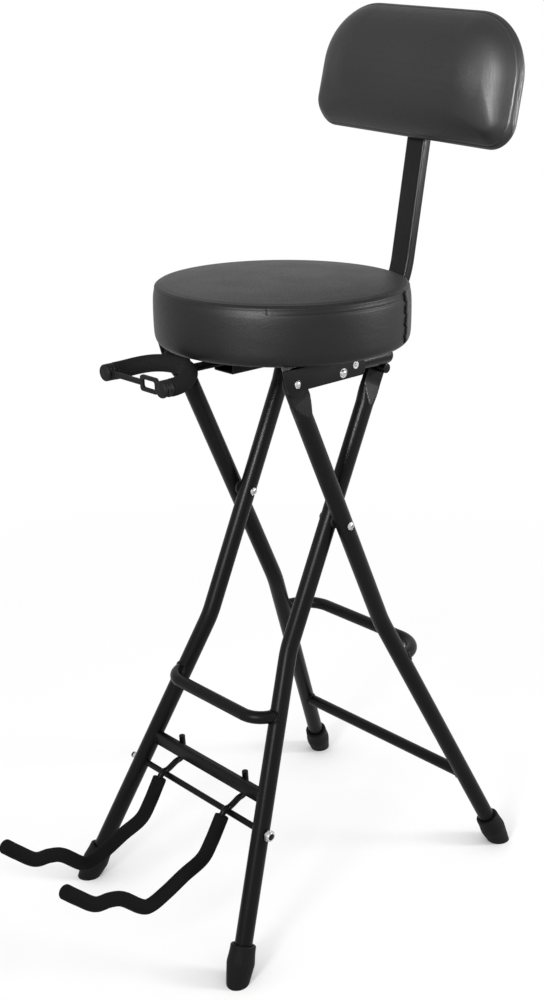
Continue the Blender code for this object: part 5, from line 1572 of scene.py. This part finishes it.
def build_stage():
    """White floor with soft shadows, white surroundings, four gridded lamps and the photograph's camera."""
    studio = bpy.context.scene.chair_studio
    scene = bpy.context.scene
    form = bmesh.new()
    bmesh.ops.create_grid(form, x_segments=1, y_segments=1, size=FLOOR_HALF)
    floor = new_piece("studio_floor", form)
    look = bpy.data.materials.new("studio_floor")
    look.use_nodes = True
    work = NodeWork(look.node_tree)
    look.node_tree.nodes.remove(look.node_tree.nodes["Principled BSDF"])
    seen = seen_rays(work)
    matt = work.out('ShaderNodeBsdfDiffuse', None, {"Color": (*studio.floor, 1.0)})
    white = work.out('ShaderNodeEmission', None, {"Color": (1.0, 1.0, 1.0, 1.0), "Strength": 1.0})
    place = work.out('ShaderNodeTexCoord', output="Object")
    distance = work.number('ShaderNodeVectorMath', {"operation": 'LENGTH'}, {0: place}, "Value")
    away = work.ramp(distance, FLOOR_NEAR, FLOOR_NEAR + studio.spread)
    white_share = (1.0 - studio.shade) + studio.shade * away
    for part in LEGS:
        for side in SIDES:
            foot = TO_FRAME @ leg_point(part, side, 0)
            distance = work.number('ShaderNodeVectorMath', {"operation": 'DISTANCE'},
                                   {0: place, 1: foot}, "Value")
            white_share = white_share.at_most(work.ramp(distance, FOOT_CONTACT, studio.contact))
    both = work.out('ShaderNodeMixShader', None, {0: seen * white_share, 1: matt, 2: white})
    work.fill(look.node_tree.nodes["Material Output"], {"Surface": both})
    floor.data.materials.append(look)

    world = bpy.data.worlds.new("studio")
    world.use_nodes = True
    scene.world = world
    work = NodeWork(world.node_tree)
    strength = seen_rays(work) * (1 - studio.sky) + studio.sky
    work.fill(world.node_tree.nodes["Background"], {"Color": (1.0, 1.0, 1.0, 1.0), "Strength": strength})

    seat, backrest = Vector((0, 0, 0.75)), Vector((0, 0.22, 1.0))
    lamps = (("key", Vector((0.7, -1.9, 1.4)), seat, (0.4, 0.7), 70, studio.key),
             ("high", Vector((0.85, -1.85, 1.7)), backrest, (0.8, 0.7), 18, studio.high),
             ("side", Vector((1.7, 1.5, 1.2)), seat, (0.5, 0.5), 70, studio.side),
             ("rim", Vector((1.7, 0.9, 1.12)), backrest, (0.5, 0.25), 8, studio.rim))
    for name, place, aim, size, spread, power in lamps:
        lamp = bpy.data.lights.new(f"{name}_lamp", 'AREA')
        lamp.shape = 'RECTANGLE'
        lamp.size, lamp.size_y = size
        lamp.spread = math.radians(spread)
        lamp.energy = power
        holder = new_object(f"{name}_lamp", lamp)
        holder.location = TO_FRAME @ place
        holder.rotation_mode = 'QUATERNION'
        holder.rotation_quaternion = (aim - place).to_track_quat('-Z', 'Y')

    right = Vector((math.cos(EYE_AZIMUTH), math.sin(EYE_AZIMUTH), 0))
    back = Vector((math.sin(EYE_AZIMUTH) * math.cos(EYE_RISE), -math.cos(EYE_AZIMUTH) * math.cos(EYE_RISE),
                   math.sin(EYE_RISE)))
    up = back.cross(right)
    lens = bpy.data.cameras.new("photo_camera")
    lens.lens = LENS
    lens.sensor_width = SENSOR
    lens.shift_x = SHIFT_X
    lens.shift_y = SHIFT_Y
    lens.clip_end = FAR_CLIP
    camera = new_object("photo_camera", lens)
    turn = Matrix((right, up, back)).transposed().to_4x4()
    camera.matrix_world = TO_FRAME @ Matrix.Translation(EYE) @ turn
    scene.camera = camera
    scene.view_settings.view_transform = 'Standard'


def seen_rays(work):
    """1 for rays that show the background: from the camera, in reflections and through glass."""
    path = work.add('ShaderNodeLightPath').outputs
    total = Number(work, path["Is Camera Ray"]) + Number(work, path["Is Glossy Ray"])
    total = total + Number(work, path["Is Transmission Ray"])
    return total.at_most(1.0)


class GUITARCHAIR_OT_finishes(bpy.types.Operator):
    """Make the chair's materials"""
    bl_idname = "guitar_chair.finishes"
    bl_label = "Finishes"

    def execute(self, context):
        make_looks()
        return {'FINISHED'}


class GUITARCHAIR_OT_legs(bpy.types.Operator):
    """Build the four bent legs"""
    bl_idname = "guitar_chair.legs"
    bl_label = "Legs"

    def execute(self, context):
        build_legs()
        return {'FINISHED'}


class GUITARCHAIR_OT_feet(bpy.types.Operator):
    """Build the four rubber feet"""
    bl_idname = "guitar_chair.feet"
    bl_label = "Feet"

    def execute(self, context):
        build_feet()
        return {'FINISHED'}


class GUITARCHAIR_OT_bars(bpy.types.Operator):
    """Build the footrests, the cross bars and their welds"""
    bl_idname = "guitar_chair.bars"
    bl_label = "Footrests and bars"

    def execute(self, context):
        build_bars()
        return {'FINISHED'}


class GUITARCHAIR_OT_seat_mount(bpy.types.Operator):
    """Build the rails, plates, straps, board, sleeve and knob under the seat"""
    bl_idname = "guitar_chair.seat_mount"
    bl_label = "Seat mount"

    def execute(self, context):
        build_seat_mount()
        return {'FINISHED'}


class GUITARCHAIR_OT_fasteners(bpy.types.Operator):
    """Build the bolts, rivets, screws and lock nuts"""
    bl_idname = "guitar_chair.fasteners"
    bl_label = "Fasteners"

    def execute(self, context):
        build_fasteners()
        return {'FINISHED'}


class GUITARCHAIR_OT_seat_cushion(bpy.types.Operator):
    """Build the round seat cushion"""
    bl_idname = "guitar_chair.seat_cushion"
    bl_label = "Seat cushion"

    def execute(self, context):
        build_seat_cushion()
        return {'FINISHED'}


class GUITARCHAIR_OT_backrest_frame(bpy.types.Operator):
    """Build the backrest's post, board and staples"""
    bl_idname = "guitar_chair.backrest_frame"
    bl_label = "Backrest frame"

    def execute(self, context):
        build_backrest_frame()
        return {'FINISHED'}


class GUITARCHAIR_OT_backrest_pad(bpy.types.Operator):
    """Build the backrest pad"""
    bl_idname = "guitar_chair.backrest_pad"
    bl_label = "Backrest pad"

    def execute(self, context):
        build_backrest_pad()
        return {'FINISHED'}


class GUITARCHAIR_OT_yoke(bpy.types.Operator):
    """Build the neck yoke and its end caps"""
    bl_idname = "guitar_chair.yoke"
    bl_label = "Neck yoke"

    def execute(self, context):
        build_yoke()
        return {'FINISHED'}


class GUITARCHAIR_OT_neck_band(bpy.types.Operator):
    """Build the rubber neck band"""
    bl_idname = "guitar_chair.neck_band"
    bl_label = "Neck band"

    def execute(self, context):
        build_neck_band()
        return {'FINISHED'}


class GUITARCHAIR_OT_cradle(bpy.types.Operator):
    """Build the guitar cradle"""
    bl_idname = "guitar_chair.cradle"
    bl_label = "Guitar cradle"

    def execute(self, context):
        build_cradle()
        return {'FINISHED'}


class GUITARCHAIR_OT_stage(bpy.types.Operator):
    """Build the floor, the lamps and the camera"""
    bl_idname = "guitar_chair.stage"
    bl_label = "Stage"

    def execute(self, context):
        build_stage()
        return {'FINISHED'}


OPERATORS = (GUITARCHAIR_OT_finishes, GUITARCHAIR_OT_legs, GUITARCHAIR_OT_feet, GUITARCHAIR_OT_bars,
             GUITARCHAIR_OT_seat_mount, GUITARCHAIR_OT_fasteners, GUITARCHAIR_OT_seat_cushion,
             GUITARCHAIR_OT_backrest_frame, GUITARCHAIR_OT_backrest_pad, GUITARCHAIR_OT_yoke,
             GUITARCHAIR_OT_neck_band, GUITARCHAIR_OT_cradle, GUITARCHAIR_OT_stage)


class GUITARCHAIR_PT_panel(bpy.types.Panel):
    """The chair's pieces, sizes and colours"""
    bl_idname = "GUITARCHAIR_PT_panel"
    bl_label = "Guitar chair"
    bl_space_type = 'VIEW_3D'
    bl_region_type = 'UI'
    bl_category = "Guitar chair"

    def draw(self, context):
        for group in (context.scene.chair_colours, context.scene.chair_details, context.scene.chair_studio):
            box = self.layout.box()
            for name in group.__annotations__:
                box.prop(group, name)
        for operator in OPERATORS:
            self.layout.operator(operator.bl_idname)


CLASSES = (ChairColours, ChairDetails, StudioLight, *OPERATORS, GUITARCHAIR_PT_panel)


def register():
    for item in CLASSES:
        bpy.utils.register_class(item)
    bpy.types.Scene.chair_colours = PointerProperty(type=ChairColours)
    bpy.types.Scene.chair_details = PointerProperty(type=ChairDetails)
    bpy.types.Scene.chair_studio = PointerProperty(type=StudioLight)


def unregister():
    del bpy.types.Scene.chair_studio
    del bpy.types.Scene.chair_details
    del bpy.types.Scene.chair_colours
    for item in reversed(CLASSES):
        bpy.utils.unregister_class(item)


def main():
    register()
    bpy.ops.guitar_chair.finishes()
    bpy.ops.guitar_chair.legs()
    bpy.ops.guitar_chair.feet()
    bpy.ops.guitar_chair.bars()
    bpy.ops.guitar_chair.seat_mount()
    bpy.ops.guitar_chair.fasteners()
    bpy.ops.guitar_chair.seat_cushion()
    bpy.ops.guitar_chair.backrest_frame()
    bpy.ops.guitar_chair.backrest_pad()
    bpy.ops.guitar_chair.yoke()
    bpy.ops.guitar_chair.neck_band()
    bpy.ops.guitar_chair.cradle()
    bpy.ops.guitar_chair.stage()


if __name__ == "__main__":
    main()
